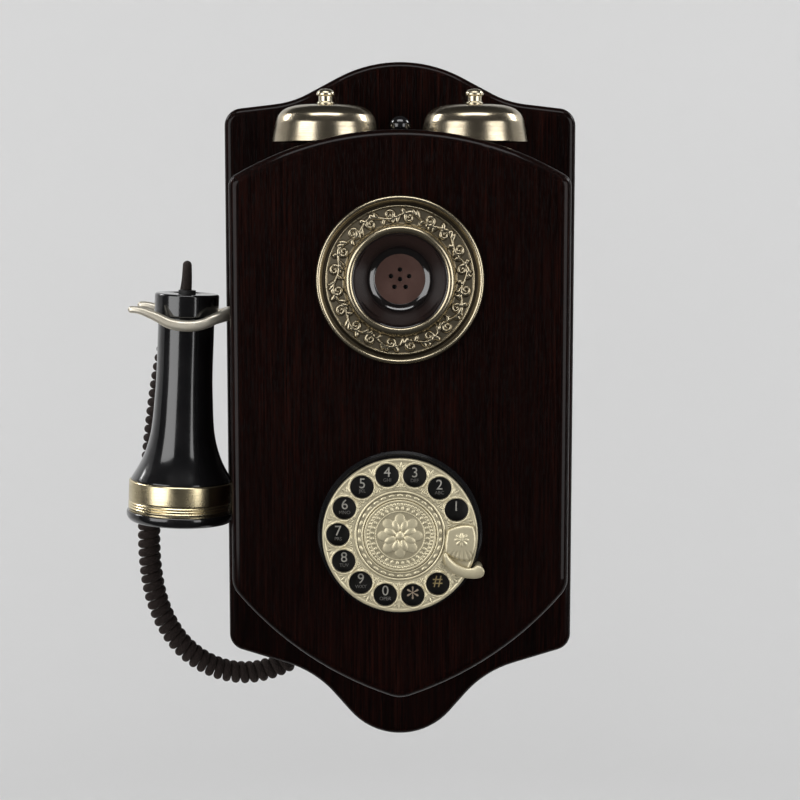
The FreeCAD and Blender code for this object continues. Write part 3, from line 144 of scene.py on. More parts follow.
stop_back = -116.1
stop_thickness = 1.55
stop_circle, stop_half_reach = 31.1, 8.1    # its leaf, out from the dial's centre
stop_angle, stop_half_angle = -6.0, 16.5
stop_border = 1.3           # how wide its rounded edge is
emblem_x, emblem_z = 31.4, -1.6             # from the dial's centre
stop_end = (39.9, -18.2)    # where its horn ends, from the dial's centre
stop_tip = 3.2              # radius of the horn's round end
gong_radius = 28.0
gong_height = 19.2
gong_wall = 1.6
gong_bore = 3.1
gong_x = 39.0
gong_y = -61.5
gong_rim = 12.4
gong_curve = (              # shares of the radius and of the height
    (0.20, 1.0), (0.50, 0.985), (0.73, 0.90), (0.865, 0.75), (0.925, 0.57), (0.95, 0.40), (0.975, 0.2),
    (1.0, 0.0))
seat = (-113.5, -61.0, -79.4)   # where the receiver's neck sits in the fork
lean = 2.5                  # how far the receiver's foot swings out
pivot_x = -62.0             # the hook's pin
hook_bar = (                # one arm of the fork from its tip: place from the seat, half width, half height
    (-28.6, -18.6, 4.75, 2.2, 1.70), (-22.0, -18.6, 4.1, 2.9, 2.0), (-14.0, -18.6, 1.0, 3.0, 2.4),
    (-6.4, -18.6, -2.75, 3.0, 2.75), (2.2, -18.6, -4.1, 3.0, 2.9), (10.2, -18.5, -3.15, 3.0, 2.85),
    (16.6, -17.6, -0.5, 3.1, 2.85), (21.4, -13.6, 1.0, 3.2, 3.0), (22.7, -7.0, 1.2, 3.3, 3.1))
hook_bend = (22.7, 0.0, 1.2, 3.3, 3.1)
hook_sides = 40
fork_power, shank_power = 0.75, 0.35    # 1 is an oval section and 0 a square one
neck_radius = 14.9
neck_wall = 2.2
band_top, band_foot = -88.0, -104.5     # down the receiver from the seat

# ---- the wheel's face: heights, and where its rings run, in millimetres ---------------------
lip_height, lip_width = 0.42, 0.5
carving_height = 0.26
leaf_height, leaf_circle, leaf_count = 0.34, 20.9, 30
leaf_half_length, leaf_half_width = 1.45, 0.62
ring_height = 0.30
rim_height = 0.30
edge_drop, edge_width = 0.55, 0.55
groove_depth = 0.12
plain_tone, wall_tone, rim_tone = 0.3, 0.35, 0.5

# ---- patterns in the materials: features in a metre, and how deep they look -----------------
wood_warp, wood_broad, wood_streak, wood_pore = 14.0, 240.0, 1300.0, 2300.0
metal_patch, metal_scratch = 90.0, 1400.0
cast_patch, cast_grain = 130.0, 1700.0
spun_patch, spun_ring = 60.0, 2600.0
mould_cloud, mould_peel = 70.0, 500.0
winding, cotton_fuzz = 900.0, 4200.0
pore_depth, scratch_depth, fine_depth = 0.10 * mm, 0.03 * mm, 0.02 * mm
winding_depth, braid_depth = 0.2 * mm, 0.30 * mm
pore_black = (0.0008, 0.0004, 0.0003)


# ---- meshes from grids ----------------------------------------------------------------------
def grid_faces(rows, columns, close_rows=False, close_columns=True):
    """Quads between neighbouring points of a grid, numbered row by row."""
    row = np.arange(rows if close_rows else rows - 1)
    column = np.arange(columns if close_columns else columns - 1)
    i, j = np.meshgrid(row, column, indexing="ij")
    down = (i + 1) % rows
    right = (j + 1) % columns
    quads = np.stack([i * columns + j, i * columns + right, down * columns + right, down * columns + j], -1)
    return quads.reshape(-1, 4)


def tidy(mesh):
    """Close seams and poles, and turn all faces outwards."""
    work = bmesh.new()
    work.from_mesh(mesh)
    bmesh.ops.remove_doubles(work, verts=work.verts, dist=1e-6)
    bmesh.ops.recalc_face_normals(work, faces=work.faces)
    work.to_mesh(mesh)
    work.free()


def linked(name, data):
    """An object that holds the data, in the scene."""
    made = bpy.data.objects.new(name, data)
    bpy.context.scene.collection.objects.link(made)
    return made


def piece(name, points, faces, material, tone=None):
    """A smooth mesh object from points and faces; tone is a number per point, 0 recessed to 1 worn."""
    mesh = bpy.data.meshes.new(name)
    mesh.from_pydata(np.asarray(points).reshape(-1, 3).tolist(), [], np.asarray(faces).tolist())
    if tone is not None:
        values = np.asarray(tone, np.float32).ravel()
        mesh.attributes.new("tone", "FLOAT", "POINT").data.foreach_set("value", values)
    tidy(mesh)
    mesh.polygons.foreach_set("use_smooth", [True] * len(mesh.polygons))
    mesh.materials.append(material)
    return linked(name, mesh)


def joined(name, parts, material):
    """One piece from several (points, faces, tone) parts."""
    points, faces, tones, count = [], [], [], 0
    for part_points, part_faces, tone in parts:
        flat = np.asarray(part_points).reshape(-1, 3)
        points.append(flat)
        faces += [[count + corner for corner in face] for face in np.asarray(part_faces).tolist()]
        tones.append(np.broadcast_to(np.ravel(tone), len(flat)))
        count += len(flat)
    return piece(name, np.concatenate(points), faces, material, np.concatenate(tones))


# ---- lines and turned shapes ----------------------------------------------------------------
def unit(vectors):
    """The vectors, each one long."""
    return vectors / np.linalg.norm(vectors, axis=-1, keepdims=True)


def polar(radius, angle):
    """Flat (across, up) spots at a radius and an angle."""
    return np.stack([radius * np.cos(angle), radius * np.sin(angle)], -1)


def full_turn(sides):
    """Evenly spaced angles once round, without the last, which is the first again."""
    return np.linspace(0, 2 * pi, sides, endpoint=False)


def smooth_line(points, per_span=8):
    """A line through the points: in each span a cubic whose end slopes follow the neighbouring points."""
    spots = np.asarray(points, float)
    before = np.concatenate([[2 * spots[0] - spots[1]], spots[:-1]])
    after = np.concatenate([spots[1:], [2 * spots[-1] - spots[-2]]])
    slope = (after - before) / 2
    t = np.linspace(0, 1, per_span, endpoint=False)[None, :, None]
    start, end = spots[:-1, None], spots[1:, None]
    leave, arrive = slope[:-1, None], slope[1:, None]
    spans = ((2 * t ** 3 - 3 * t ** 2 + 1) * start + (t ** 3 - 2 * t ** 2 + t) * leave
             + (3 * t ** 2 - 2 * t ** 3) * end + (t ** 3 - t ** 2) * arrive)
    return np.concatenate([spans.reshape(-1, spots.shape[1]), spots[-1:]])


def rounded_line(corners):
    """A line through (across, along, round) corners; each is cut by a parabola that starts and ends its
    round away from the corner."""
    spots = np.array([corner[:2] for corner in corners], float)
    t = np.linspace(0, 1, 6)[:, None]
    line = [spots[:1]]
    for index in range(1, len(corners) - 1):
        here, size = spots[index], corners[index][2]
        if size == 0:
            line.append(spots[index:index + 1])
            continue
        back = here + unit(spots[index - 1] - here) * size
        on = here + unit(spots[index + 1] - here) * size
        line.append((1 - t) ** 2 * back + 2 * t * (1 - t) * here + t ** 2 * on)
    line.append(spots[-1:])
    return np.concatenate(line)


def turned_about_y(profile, sides, x, z):
    """A grid: each (radius, y) point of the profile turned about a line along Y.

    Millimetres go in and metres come out.
    """
    turn = full_turn(sides)
    radius, along = profile[:, 0, None], profile[:, 1, None]
    return np.stack([x + radius * np.cos(turn), along + 0 * turn, z + radius * np.sin(turn)], -1) * mm


def turned_about_z(profile, sides, x=0.0, y=0.0):
    """A grid: each (radius, z) point of the profile turned about a line along Z.

    Millimetres go in and metres come out.
    """
    turn = full_turn(sides)
    radius, along = profile[:, 0, None], profile[:, 1, None]
    return np.stack([x + radius * np.cos(turn), y + radius * np.sin(turn), along + 0 * turn], -1) * mm


def turned_faces(grid, closed=False):
    """Quads of a turned grid; a closed profile also joins its last row to its first."""
    return grid_faces(grid.shape[0], grid.shape[1], close_rows=closed)


def swept(line, half_across, half_up, across, up, power, sides):
    """A grid: a rounded section carried along a line.  At each point the section is a superellipse,
    cosine and sine to the given power, with its own half sizes across and up."""
    turn = full_turn(sides)
    wide = np.sign(np.cos(turn)) * np.abs(np.cos(turn)) ** power
    high = np.sign(np.sin(turn)) * np.abs(np.sin(turn)) ** power
    return (line[:, None] + across[:, None] * (half_across[:, None] * wide)[..., None]
            + up[:, None] * (half_up[:, None] * high)[..., None])


def closed_ends(grid):
    """The grid with its first and last rows drawn together to a point."""
    return np.concatenate([
        np.broadcast_to(grid[:1].mean(1, keepdims=True), grid[:1].shape), grid,
        np.broadcast_to(grid[-1:].mean(1, keepdims=True), grid[-1:].shape)])


# ---- carved ornament ------------------------------------------------------------------------
def stroke(points, widths):
    """A drawn line for an ornament: (across, along, half width) rows of a smooth line."""
    return smooth_line([(*point, width) for point, width in zip(points, widths)], 10)


def spiral(centre, radius, start, turns, width):
    """A stroke that winds inwards: the radius and the width shrink evenly while the angle grows.

    It ends at 0.18 of the radius and 0.55 of the width.
    """
    share = np.linspace(0, 1, 36)
    angle = radians(start) + 2 * pi * turns * share
    reach = radius * (1 - 0.82 * share)
    across = centre[0] + reach * np.cos(angle)
    along = centre[1] + reach * np.sin(angle)
    return np.stack([across, along, width * (1 - 0.45 * share)], -1)


def stroke_height(across, along, strokes):
    """How high a field of spots stands, and how near to a stroke's outline.

    The height is 1 on a stroke's middle line and falls round-backed to 0 at its edge; the second number
    is 1 just outside the edge and 0 away from it.
    """
    nearest = np.full(np.shape(across), np.inf)
    for line in strokes:
        reach = np.hypot(across[..., None] - line[:, 0], along[..., None] - line[:, 1]) / line[:, 2]
        nearest = np.minimum(nearest, reach.min(-1))
    return np.sqrt(1 - np.clip(nearest, 0, 1) ** 2), bump(nearest, 1.18, 0.30)


def bump(value, middle, half):
    """A round-backed ridge over a number line: 1 at the middle, 0 from half away."""
    return np.sqrt(np.clip(1 - ((value - middle) / half) ** 2, 0, 1))


# ---- material nodes -------------------------------------------------------------------------
def node(tree, kind, inputs=None, **settings):
    """A shader node; inputs are plain values or other nodes' outputs, by socket name or number."""
    made = tree.nodes.new("ShaderNode" + kind)
    for name, value in settings.items():
        setattr(made, name, value)
    for name, value in (inputs or {}).items():
        if isinstance(value, bpy.types.NodeSocket):
            tree.links.new(value, made.inputs[name])
        else:
            made.inputs[name].default_value = value
    return made


def finish(name, **values):
    """A new material, its node tree and its shader, with the plain values set on the shader."""
    material = bpy.data.materials.new(name)
    material.use_nodes = True
    tree = material.node_tree
    shader = tree.nodes["Principled BSDF"]
    for socket, value in values.items():
        shader.inputs[socket.replace("_", " ")].default_value = value
    return material, tree, shader


def place(tree, scale=(1, 1, 1)):
    """Object coordinates, stretched."""
    where = node(tree, "TexCoord").outputs["Object"]
    return node(tree, "Mapping", {"Vector": where, "Scale": scale}).outputs["Vector"]


def noise(tree, where, scale, detail, rough=0.5):
    """Cloudy numbers from 0 to 1."""
    inputs = {"Vector": where, "Scale": scale, "Detail": detail, "Roughness": rough}
    return node(tree, "TexNoise", inputs).outputs["Fac"]


def spread(tree, value, low, high, to_low=0.0, to_high=1.0):
    """Numbers from low to high stretched to a new range."""
    inputs = {"Value": value, "From Min": low, "From Max": high, "To Min": to_low, "To Max": to_high}
    return node(tree, "MapRange", inputs).outputs["Result"]


def math(tree, operation, first, second=0.0):
    """One sum."""
    return node(tree, "Math", {0: first, 1: second}, operation=operation).outputs[0]


def blend_colours(tree, share, first, second):
    """A colour between two others."""
    mixer = node(tree, "Mix", {"Factor": share}, data_type="RGBA")
    for socket, value in ((mixer.inputs[6], first), (mixer.inputs[7], second)):
        if isinstance(value, bpy.types.NodeSocket):
            tree.links.new(value, socket)
        else:
            socket.default_value = (*value, 1.0)
    return mixer.outputs[2]


def relief(tree, shader, height, distance, strength):
    """Bumps from a height, on the shader."""
    inputs = {"Height": height, "Distance": distance, "Strength": strength}
    tree.links.new(node(tree, "Bump", inputs).outputs["Normal"], shader.inputs["Normal"])


def paint(tree, shader, colour, roughness):
    """Give the shader its colour and its roughness."""
    tree.links.new(colour, shader.inputs["Base Color"])
    tree.links.new(roughness, shader.inputs["Roughness"])


# ---- materials ------------------------------------------------------------------------------
def wood(name, dark, light, gloss):
    """Lacquered open-pored wood: fine growth lines along Z, short pores, and a clear coat.

    Each pattern is drawn out along Z: the smaller the last number of its stretch, the longer its grain.
    """
    material, tree, shader = finish(name, Coat_Weight=gloss, Coat_Roughness=0.07, IOR=1.45)
    shader.inputs["Specular IOR Level"].default_value = 0.05
    warp = noise(tree, place(tree, (1, 1, 0.25)), wood_warp, 2.0)
    shifted = {0: place(tree, (1, 1, 0.012)), 1: (0.02, 0.02, 0.02)}
    wander = node(tree, "VectorMath", shifted, operation="ADD")
    broad = noise(tree, wander.outputs["Vector"], wood_broad, 3.0, 0.55)
    streaks = noise(tree, place(tree, (1, 1, 0.020)), wood_streak, 4.0, 0.6)
    pores = noise(tree, place(tree, (1, 1, 0.060)), wood_pore, 2.0)
    lines = spread(tree, streaks, 0.42, 0.72)
    grain = math(tree, "MULTIPLY", lines, spread(tree, broad, 0.36, 0.66, 0.30, 1.0))
    tint = math(tree, "MULTIPLY", grain, spread(tree, warp, 0.3, 0.7, 0.45, 1.0))
    pits = spread(tree, pores, 0.56, 0.68)
    filled = math(tree, "MULTIPLY", pits, 0.75)
    shaded = blend_colours(tree, filled, blend_colours(tree, tint, dark, light), pore_black)
    paint(tree, shader, shaded, spread(tree, streaks, 0.3, 0.7, 0.30, 0.42))
    relief(tree, shader, math(tree, "MULTIPLY", pits, -1.0), pore_depth, 0.5)
    return material


def metal(name, bright, patina, rough, metallic=1.0):
    """Aged metal: bright where it is worn, dark in patches, with fine scratches."""
    material, tree, shader = finish(name, Metallic=metallic)
    patches = noise(tree, place(tree), metal_patch, 5.0, 0.6)
    fine = noise(tree, place(tree), metal_scratch, 2.0)
    clouded = spread(tree, patches, 0.35, 0.65, 0.0, 0.8)
    share = math(tree, "ADD", clouded, spread(tree, fine, 0.4, 0.7, 0.0, 0.2))
    colour = blend_colours(tree, share, bright, patina)
    paint(tree, shader, colour, spread(tree, patches, 0.3, 0.7, rough * 0.8, rough * 1.3))
    relief(tree, shader, fine, scratch_depth, 0.5)
    return material


def carved_metal(name, bright, dark, rough, metallic=1.0):
    """Aged cast metal whose recesses, told by the tone attribute, hold dark patina."""
    material, tree, shader = finish(name, Metallic=metallic)
    tone = node(tree, "Attribute", attribute_name="tone").outputs["Fac"]
    patches = noise(tree, place(tree), cast_patch, 4.0, 0.6)
    fine = noise(tree, place(tree), cast_grain, 2.0)
    worn = math(tree, "ADD", tone, spread(tree, patches, 0.35, 0.65, -0.05, 0.05))
    wear = (0.10, 0.62)
    colour = blend_colours(tree, spread(tree, worn, *wear), dark, bright)
    paint(tree, shader, colour, spread(tree, worn, *wear, rough * 1.7, rough))
    relief(tree, shader, fine, fine_depth, 0.5)
    return material


def brushed_metal(name, bright, dark, rough):
    """Spun metal with fine rings round a line along Z."""
    material, tree, shader = finish(name, Metallic=1.0, Anisotropic=0.5)
    rings = noise(tree, place(tree, (0.02, 0.02, 1.0)), spun_ring, 3.0, 0.6)
    patches = noise(tree, place(tree), spun_patch, 4.0, 0.6)
    ringed = spread(tree, rings, 0.35, 0.65, 0.0, 0.35)
    share = math(tree, "ADD", ringed, spread(tree, patches, 0.4, 0.7, 0.0, 0.5))
    colour = blend_colours(tree, share, bright, dark)
    paint(tree, shader, colour, spread(tree, patches, 0.3, 0.7, rough * 0.85, rough * 1.3))
    relief(tree, shader, rings, fine_depth, 0.5)
    return material


def moulded(name, colour, other, rough, coat=0.0):
    """Moulded plastic or paint with slight clouding and a fine orange peel."""
    material, tree, shader = finish(name, Coat_Weight=coat, Coat_Roughness=0.06)
    clouds = noise(tree, place(tree), mould_cloud, 4.0, 0.6)
    peel = noise(tree, place(tree), mould_peel, 2.0)
    clouded = blend_colours(tree, spread(tree, clouds, 0.35, 0.65), colour, other)
    paint(tree, shader, clouded, spread(tree, clouds, 0.3, 0.7, rough * 0.8, rough * 1.25))
    relief(tree, shader, peel, fine_depth, 0.4)
    return material


def wound(name, colour, dark):
    """Copper wire windings: fine rings along Z, with painted shade in the grooves between turns."""
    material, tree, shader = finish(name, Metallic=1.0)
    inputs = {"Vector": place(tree), "Scale": winding, "Distortion": 0.4}
    turns = node(tree, "TexWave", inputs, wave_type="BANDS", bands_direction="Z").outputs["Fac"]
    # Painted shade: the colour darkens where the bands are low, between the wire's turns.
    tint = blend_colours(tree, turns, dark, colour)
    paint(tree, shader, tint, spread(tree, turns, 0.0, 1.0, 0.45, 0.3))
    relief(tree, shader, turns, winding_depth, 0.8)
    return material


def braid(name, dark, light):
    """Woven cotton over a wire: two sets of strands that cross over and under, along the UV map. Its colour
    darkens with the weave's height, as painted shade in the grooves between strands.
    """
    material, tree, shader = finish(name, Roughness=0.86, Sheen_Weight=0.12, Sheen_Roughness=0.5)
    shader.inputs["Specular IOR Level"].default_value = 0.25
    shader.inputs["Sheen Tint"].default_value = (0.55, 0.42, 0.36, 1.0)
    uv = node(tree, "SeparateXYZ", {"Vector": node(tree, "UVMap", uv_map="braid").outputs["UV"]})
    along, around = uv.outputs["X"], uv.outputs["Y"]
    weaves = []
    for operation in ("ADD", "SUBTRACT"):
        phase = math(tree, "MULTIPLY", math(tree, operation, along, around), pi)
        weaves.append(math(tree, "POWER", math(tree, "ABSOLUTE", math(tree, "SINE", phase)), 0.7))
    over = math(tree, "SINE", math(tree, "MULTIPLY", along, pi))
    under = math(tree, "SINE", math(tree, "MULTIPLY", around, pi))
    swap = spread(tree, math(tree, "MULTIPLY", over, under), -0.3, 0.3)
    first = math(tree, "MULTIPLY", weaves[0], swap)
    second = math(tree, "MULTIPLY", weaves[1], math(tree, "SUBTRACT", 1.0, swap))
    height = math(tree, "ADD", first, second)
    fuzz = noise(tree, place(tree), cotton_fuzz, 3.0, 0.7)
    # Painted shade: the colour is darker where the weave is low, in the grooves between strands, and
    # lighter on the strands' tops; the fuzz adds uneven tone.
    tint = math(tree, "MULTIPLY", height, spread(tree, fuzz, 0.3, 0.7, 0.5, 1.0))
    tree.links.new(blend_colours(tree, tint, dark, light), shader.inputs["Base Color"])
    rough = math(tree, "ADD", height, math(tree, "MULTIPLY", fuzz, 0.4))
    relief(tree, shader, rough, braid_depth, 0.9)
    return material


dark_wood = wood("dark_wood", (0.0024, 0.0005, 0.0003), (0.024, 0.0052, 0.0030), 0.20)
frame_wood = wood("frame_wood", (0.010, 0.0042, 0.0025), (0.075, 0.030, 0.015), 0.05)
aged_brass = metal("aged_brass", (0.60, 0.47, 0.26), (0.20, 0.145, 0.075), 0.26)
carved_brass = carved_metal("carved_brass", (0.46, 0.395, 0.275), (0.040, 0.031, 0.021), 0.27)
pale_brass = metal("pale_brass", (0.78, 0.71, 0.54), (0.56, 0.49, 0.355), 0.24)
carved_pale_brass = carved_metal("carved_pale_brass", (0.77, 0.69, 0.475), (0.080, 0.064, 0.035), 0.42,
                                 metallic=0.72)
bell_metal = brushed_metal("bell_metal", (0.58, 0.505, 0.375), (0.31, 0.255, 0.17), 0.20)
black_gloss = moulded("black_gloss", (0.0050, 0.0050, 0.0055), (0.0075, 0.0072, 0.0078), 0.16, 0.6)
dark_bowl = moulded("dark_bowl", (0.0060, 0.0050, 0.0050), (0.0090, 0.0070, 0.0070), 0.12, 1.0)
grille_brown = moulded("grille_brown", (0.072, 0.036, 0.028), (0.096, 0.048, 0.037), 0.34)
number_black = moulded("number_black", (0.006, 0.006, 0.006), (0.010, 0.009, 0.009), 0.42)
matte_black = moulded("matte_black", (0.010, 0.010, 0.010), (0.018, 0.017, 0.017), 0.55)
board_green = moulded("board_green", (0.010, 0.070, 0.025), (0.014, 0.090, 0.034), 0.40)
mild_steel = metal("mild_steel", (0.56, 0.56, 0.55), (0.36, 0.35, 0.33), 0.32)
gear_brass = metal("gear_brass", (0.72, 0.55, 0.26), (0.50, 0.36, 0.16), 0.28)
copper_wire = wound("copper_wire", (0.72, 0.30, 0.13), (0.25, 0.08, 0.04))
hook_silver = metal("hook_silver", (0.88, 0.83, 0.71), (0.70, 0.64, 0.52), 0.36, metallic=0.85)
band_brass = brushed_metal("band_brass", (0.74, 0.64, 0.42), (0.42, 0.34, 0.19), 0.24)
digit_ivory = moulded("digit_ivory", (0.62, 0.60, 0.54), (0.52, 0.50, 0.45), 0.5)
letter_grey = moulded("letter_grey", (0.30, 0.29, 0.27), (0.24, 0.23, 0.22), 0.5)
star_cream = moulded("star_cream", (0.62, 0.50, 0.38), (0.52, 0.41, 0.30), 0.5)
sign_gold = moulded("sign_gold", (0.60, 0.47, 0.22), (0.50, 0.38, 0.17), 0.45)
brown_braid = braid("brown_braid", (0.0045, 0.0028, 0.0024), (0.023, 0.0145, 0.0125))

node_finishes = {
    dark_wood: ("back_board", "front_panel", "side_wall_left", "side_wall_right", "lower_wall_left",
                "lower_wall_right", "top_deck"),
    frame_wood: ("batten_top", "batten_bottom", "batten_sides"),
    mild_steel: ("hanger_plates", "hanger_screws", "case_screws", "gong_posts", "ringer_bracket",
                 "ringer_pin", "clapper_armature", "clapper_rod", "dial_frame", "dial_return_spring",
                 "governor_spindle", "governor_housing", "hook_bracket", "hook_pin",
                 "circuit_standoffs", "receiver_speaker"),
    gear_brass: ("drive_gear", "dial_bridge", "dial_shaft", "governor_pinion"),
    aged_brass: ("mouthpiece_ring", "receiver_band"),
    pale_brass: ("gong_nuts", "hook_lever", "finger_wheel", "dial_medallion", "finger_stop"),
    bell_metal: ("gong_left", "gong_right"),
    black_gloss: ("receiver_shell", "receiver_cap", "ear_cap", "dial_base", "clapper_ball"),
    dark_bowl: ("mouthpiece_horn",),
    grille_brown: ("mouthpiece_grille",),
    number_black: ("number_plate",),
    matte_black: ("mouthpiece_nut", "microphone_capsule", "hook_switch", "switch_plunger", "circuit_parts",
                  "line_jack", "cord_gland", "receiver_gland"),
    board_green: ("circuit_board",),
    copper_wire: ("ringer_coils",),
}


def paint_nodes():
    """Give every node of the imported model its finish."""
    for material, names in node_finishes.items():
        for name in names:
            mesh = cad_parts[name].data
            mesh.materials.clear()
            mesh.materials.append(material)


# ---- receiver's cord ------------------------------------------------------------------------
def route_line():
    """Points along a smooth curve whose control points are the route."""
    curve = bpy.data.curves.new("cord_route", "CURVE")
    curve.dimensions = "3D"
    curve.resolution_u = 24
    spline = curve.splines.new("NURBS")
    spline.points.add(len(cord_route) - 1)
    for point, spot in zip(spline.points, cord_route):
        point.co = (spot[0] * mm, spot[1] * mm, spot[2] * mm, 1.0)
    spline.order_u = 3
    spline.use_endpoint_u = True
    holder = linked("cord_route", curve)
    bpy.context.view_layer.update()
    line = bpy.data.meshes.new_from_object(holder)
    points = np.zeros(len(line.vertices) * 3)
    line.vertices.foreach_get("co", points)
    bpy.data.objects.remove(holder)
    return points.reshape(-1, 3)


def travel(points):
    """Distance along a line of points, from its start."""
    steps = np.linalg.norm(np.diff(points, axis=0), axis=1)
    return np.concatenate([[0.0], np.cumsum(steps)])


def respaced(points, distances):
    """Points on a line at the given distances from its start."""
    here = travel(points)
    return np.stack([np.interp(distances, here, points[:, axis]) for axis in range(3)], -1)


def carried_frames(points):
    """Two unit vectors across a line at each of its points, carried along it without twisting.

    They start square to the line and to a direction that the line doesn't start in.
    """
    along = unit(np.gradient(points, axis=0))
    side = np.cross(along[0], (0.0, 1.0, 0.3))
    sides = []
    for direction in along:
        side = unit(side - direction * np.dot(side, direction))
        sides.append(side)
    sides = np.array(sides)
    return sides, np.cross(along, sides)


def helix_line():
    """The wire's own line: it follows the route, and circles it where the cord is coiled.

    The circling radius rises from nothing to the coil's and back by a smooth step at each end, and the
    turning angle grows evenly with the distance along the coil.
    """
    route = route_line()
    length = travel(route)[-1]
    start = lead_share * length
    end = (1 - tail_share) * length
    straight = np.linspace(0, start, lead_steps)[:-1]
    coiled = np.linspace(start, end, coil_turns * turn_steps)
    last = np.linspace(end, length, tail_steps)[1:]
    along = np.concatenate([straight, coiled, last])
    centre = respaced(route, along)
    side, across = carried_frames(centre)
    into = np.clip((along - start) / coil_ease, 0, 1)
    out = np.clip((end - along) / coil_ease, 0, 1)
    open_share = into * into * (3 - 2 * into) * out * out * (3 - 2 * out)
    radius = (coil_diameter - wire_diameter) / 2 * open_share
    turn = 2 * pi * coil_turns * np.clip((along - start) / (end - start), 0, 1)
    ring = side * np.cos(turn)[:, None] + across * np.sin(turn)[:, None]
    return centre + radius[:, None] * ring


def wire_grid(line):
    """The wire: a circle of its radius carried along the line."""
    side, across = carried_frames(line)
    turn = full_turn(wire_sides)[None, :, None]
    circle = side[:, None] * np.cos(turn) + across[:, None] * np.sin(turn)
    return line[:, None] + wire_diameter / 2 * circle


def capped_faces(rows, columns):
    """A tube's quads and a fan at each end, onto two more points after the grid's."""
    quads = grid_faces(rows, columns).tolist()
    first, last = rows * columns, rows * columns + 1
    base = (rows - 1) * columns
    for j in range(columns):
        after = (j + 1) % columns
        quads.append([first, after, j])
        quads.append([last, base + j, base + after])
    return quads


def braid_map(mesh, distance):
    """The cord's UV map, in cells of the braid: along by the distance travelled, round by the strands.

    On the faces that close the circle, the first column counts as one past the last.
    """
    loops = np.zeros(len(mesh.loops), int)
    mesh.loops.foreach_get("vertex_index", loops)
    row = np.minimum(loops // wire_sides, len(distance) - 1)
    column = loops % wire_sides
    totals = np.zeros(len(mesh.polygons), int)
    mesh.polygons.foreach_get("loop_total", totals)
    face_of_loop = np.repeat(np.arange(len(totals)), totals)
    wraps = np.zeros(len(totals), bool)
    np.logical_or.at(wraps, face_of_loop, column == wire_sides - 1)
    around = column + wire_sides * (wraps[face_of_loop] & (column == 0))
    cell = wire_diameter * pi / braid_strands
    uv = np.stack([distance[row] / cell, around * braid_strands / wire_sides], -1)
    mesh.uv_layers.new(name="braid").data.foreach_set("uv", uv.ravel())


def curly_cord():
    """The braided cord from the receiver's collar to the gland behind the back board."""
    line = helix_line()
    points = np.concatenate([wire_grid(line).reshape(-1, 3), line[:1], line[-1:]])
    mesh = bpy.data.meshes.new("curly_cord")
    mesh.from_pydata(points.tolist(), [], capped_faces(len(line), wire_sides))
    distance = travel(line)
    braid_map(mesh, distance)
    mesh.polygons.foreach_set("use_smooth", [True] * len(mesh.polygons))
    mesh.materials.append(brown_braid)
    cord = linked("curly_cord", mesh)
    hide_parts("handset_cord", "handset_cord_lead")
    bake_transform(cord)


# ---- mouthpiece -----------------------------------------------------------------------------
def vine_cell(length):
    """The strokes of one repeat of the rose's vine: a waving stem, two scrolls and small leaves."""
    def on_stem(share):
        """A spot on the stem, by its share of the repeat."""
        return share * length, vine_wave * sin(2 * pi * share)

    strokes = [
        stroke([on_stem(share) for share in np.linspace(0, 1, 9)], [0.72] * 9),
        spiral((0.26 * length, -0.8), radius=2.7, start=95, turns=-1.30, width=1.05),
        spiral((0.76 * length, 0.8), radius=2.7, start=-85, turns=-1.30, width=1.05),
    ]
    for share, side in ((0.02, 1), (0.12, 1), (0.36, 1), (0.50, -1), (0.62, -1), (0.88, -1)):
        foot = on_stem(share)
        tip = (foot[0] + 1.6, side * 3.5)
        middle = ((foot[0] + tip[0]) / 2 + 0.5, (foot[1] + tip[1]) / 2)
        strokes.append(stroke((foot, middle, tip), (0.50, 1.15, 0.25)))
    return strokes


def mouthpiece_rose():
    """The carved brass ring: a profile turned about Y, with the vine raised on its band.

    Across the band the face rises by the vine's height; elsewhere it is the plain profile.
    """
    inner = smooth_line([
        (rose_bore, 6.3), (24.1, 6.75), (24.4, 7.7), (25.5, 8.2), (26.8, 7.9), (27.8, 6.9), (28.5, 5.6),
        (vine_low, 4.5)], 5)
    outer = smooth_line([
        (vine_high, 3.9), (37.3, 4.5), (37.8, 4.4), (38.3, 3.1), (39.0, 2.7), (39.8, 3.2), (40.8, 4.3),
        (41.7, 4.6), (42.5, 4.1), (rose_radius, 3.2)], 5)
    band = np.linspace((vine_low + 0.1, 4.3), (vine_high - 0.1, 3.8), band_rows)
    profile = np.concatenate([[(rose_bore, 0.0)], inner, band, outer, [(rose_radius, 0.0)]])
    radius, level = profile[:, :1], profile[:, 1:]
    turn = full_turn(rose_sides)
    cell = 2 * pi * vine_middle / vine_repeats
    along = (turn[None] * vine_middle) % cell + 0 * radius
    strokes = vine_cell(cell)
    for shift in (-cell, cell):
        strokes += [line + (shift, 0, 0) for line in strokes[:2]]
    raised, outline = stroke_height(along, radius - vine_middle + 0 * turn, strokes)
    on_band = (radius > vine_low) & (radius < vine_high)
    raised = np.where(on_band, raised, 0.0)
    face = panel_front - level - vine_stands * raised
    grid = np.stack([radius * np.cos(turn), face, mouth_z + radius * np.sin(turn)], -1) * mm
    worn = 0.55 * bump(radius, 26.0, 2.2) + 0.5 * bump(radius, 41.5, 1.5)
    plain = 0.62 + worn - 0.6 * bump(radius, 38.8, 0.9)
    tone = np.where(on_band, 0.40 + 0.30 * raised - 0.30 * outline, plain + 0 * turn)
    rose = piece("mouthpiece_rose", grid, turned_faces(grid, closed=True), carved_brass, tone=tone)
    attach(rose, "case")
    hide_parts("mouthpiece_ring")


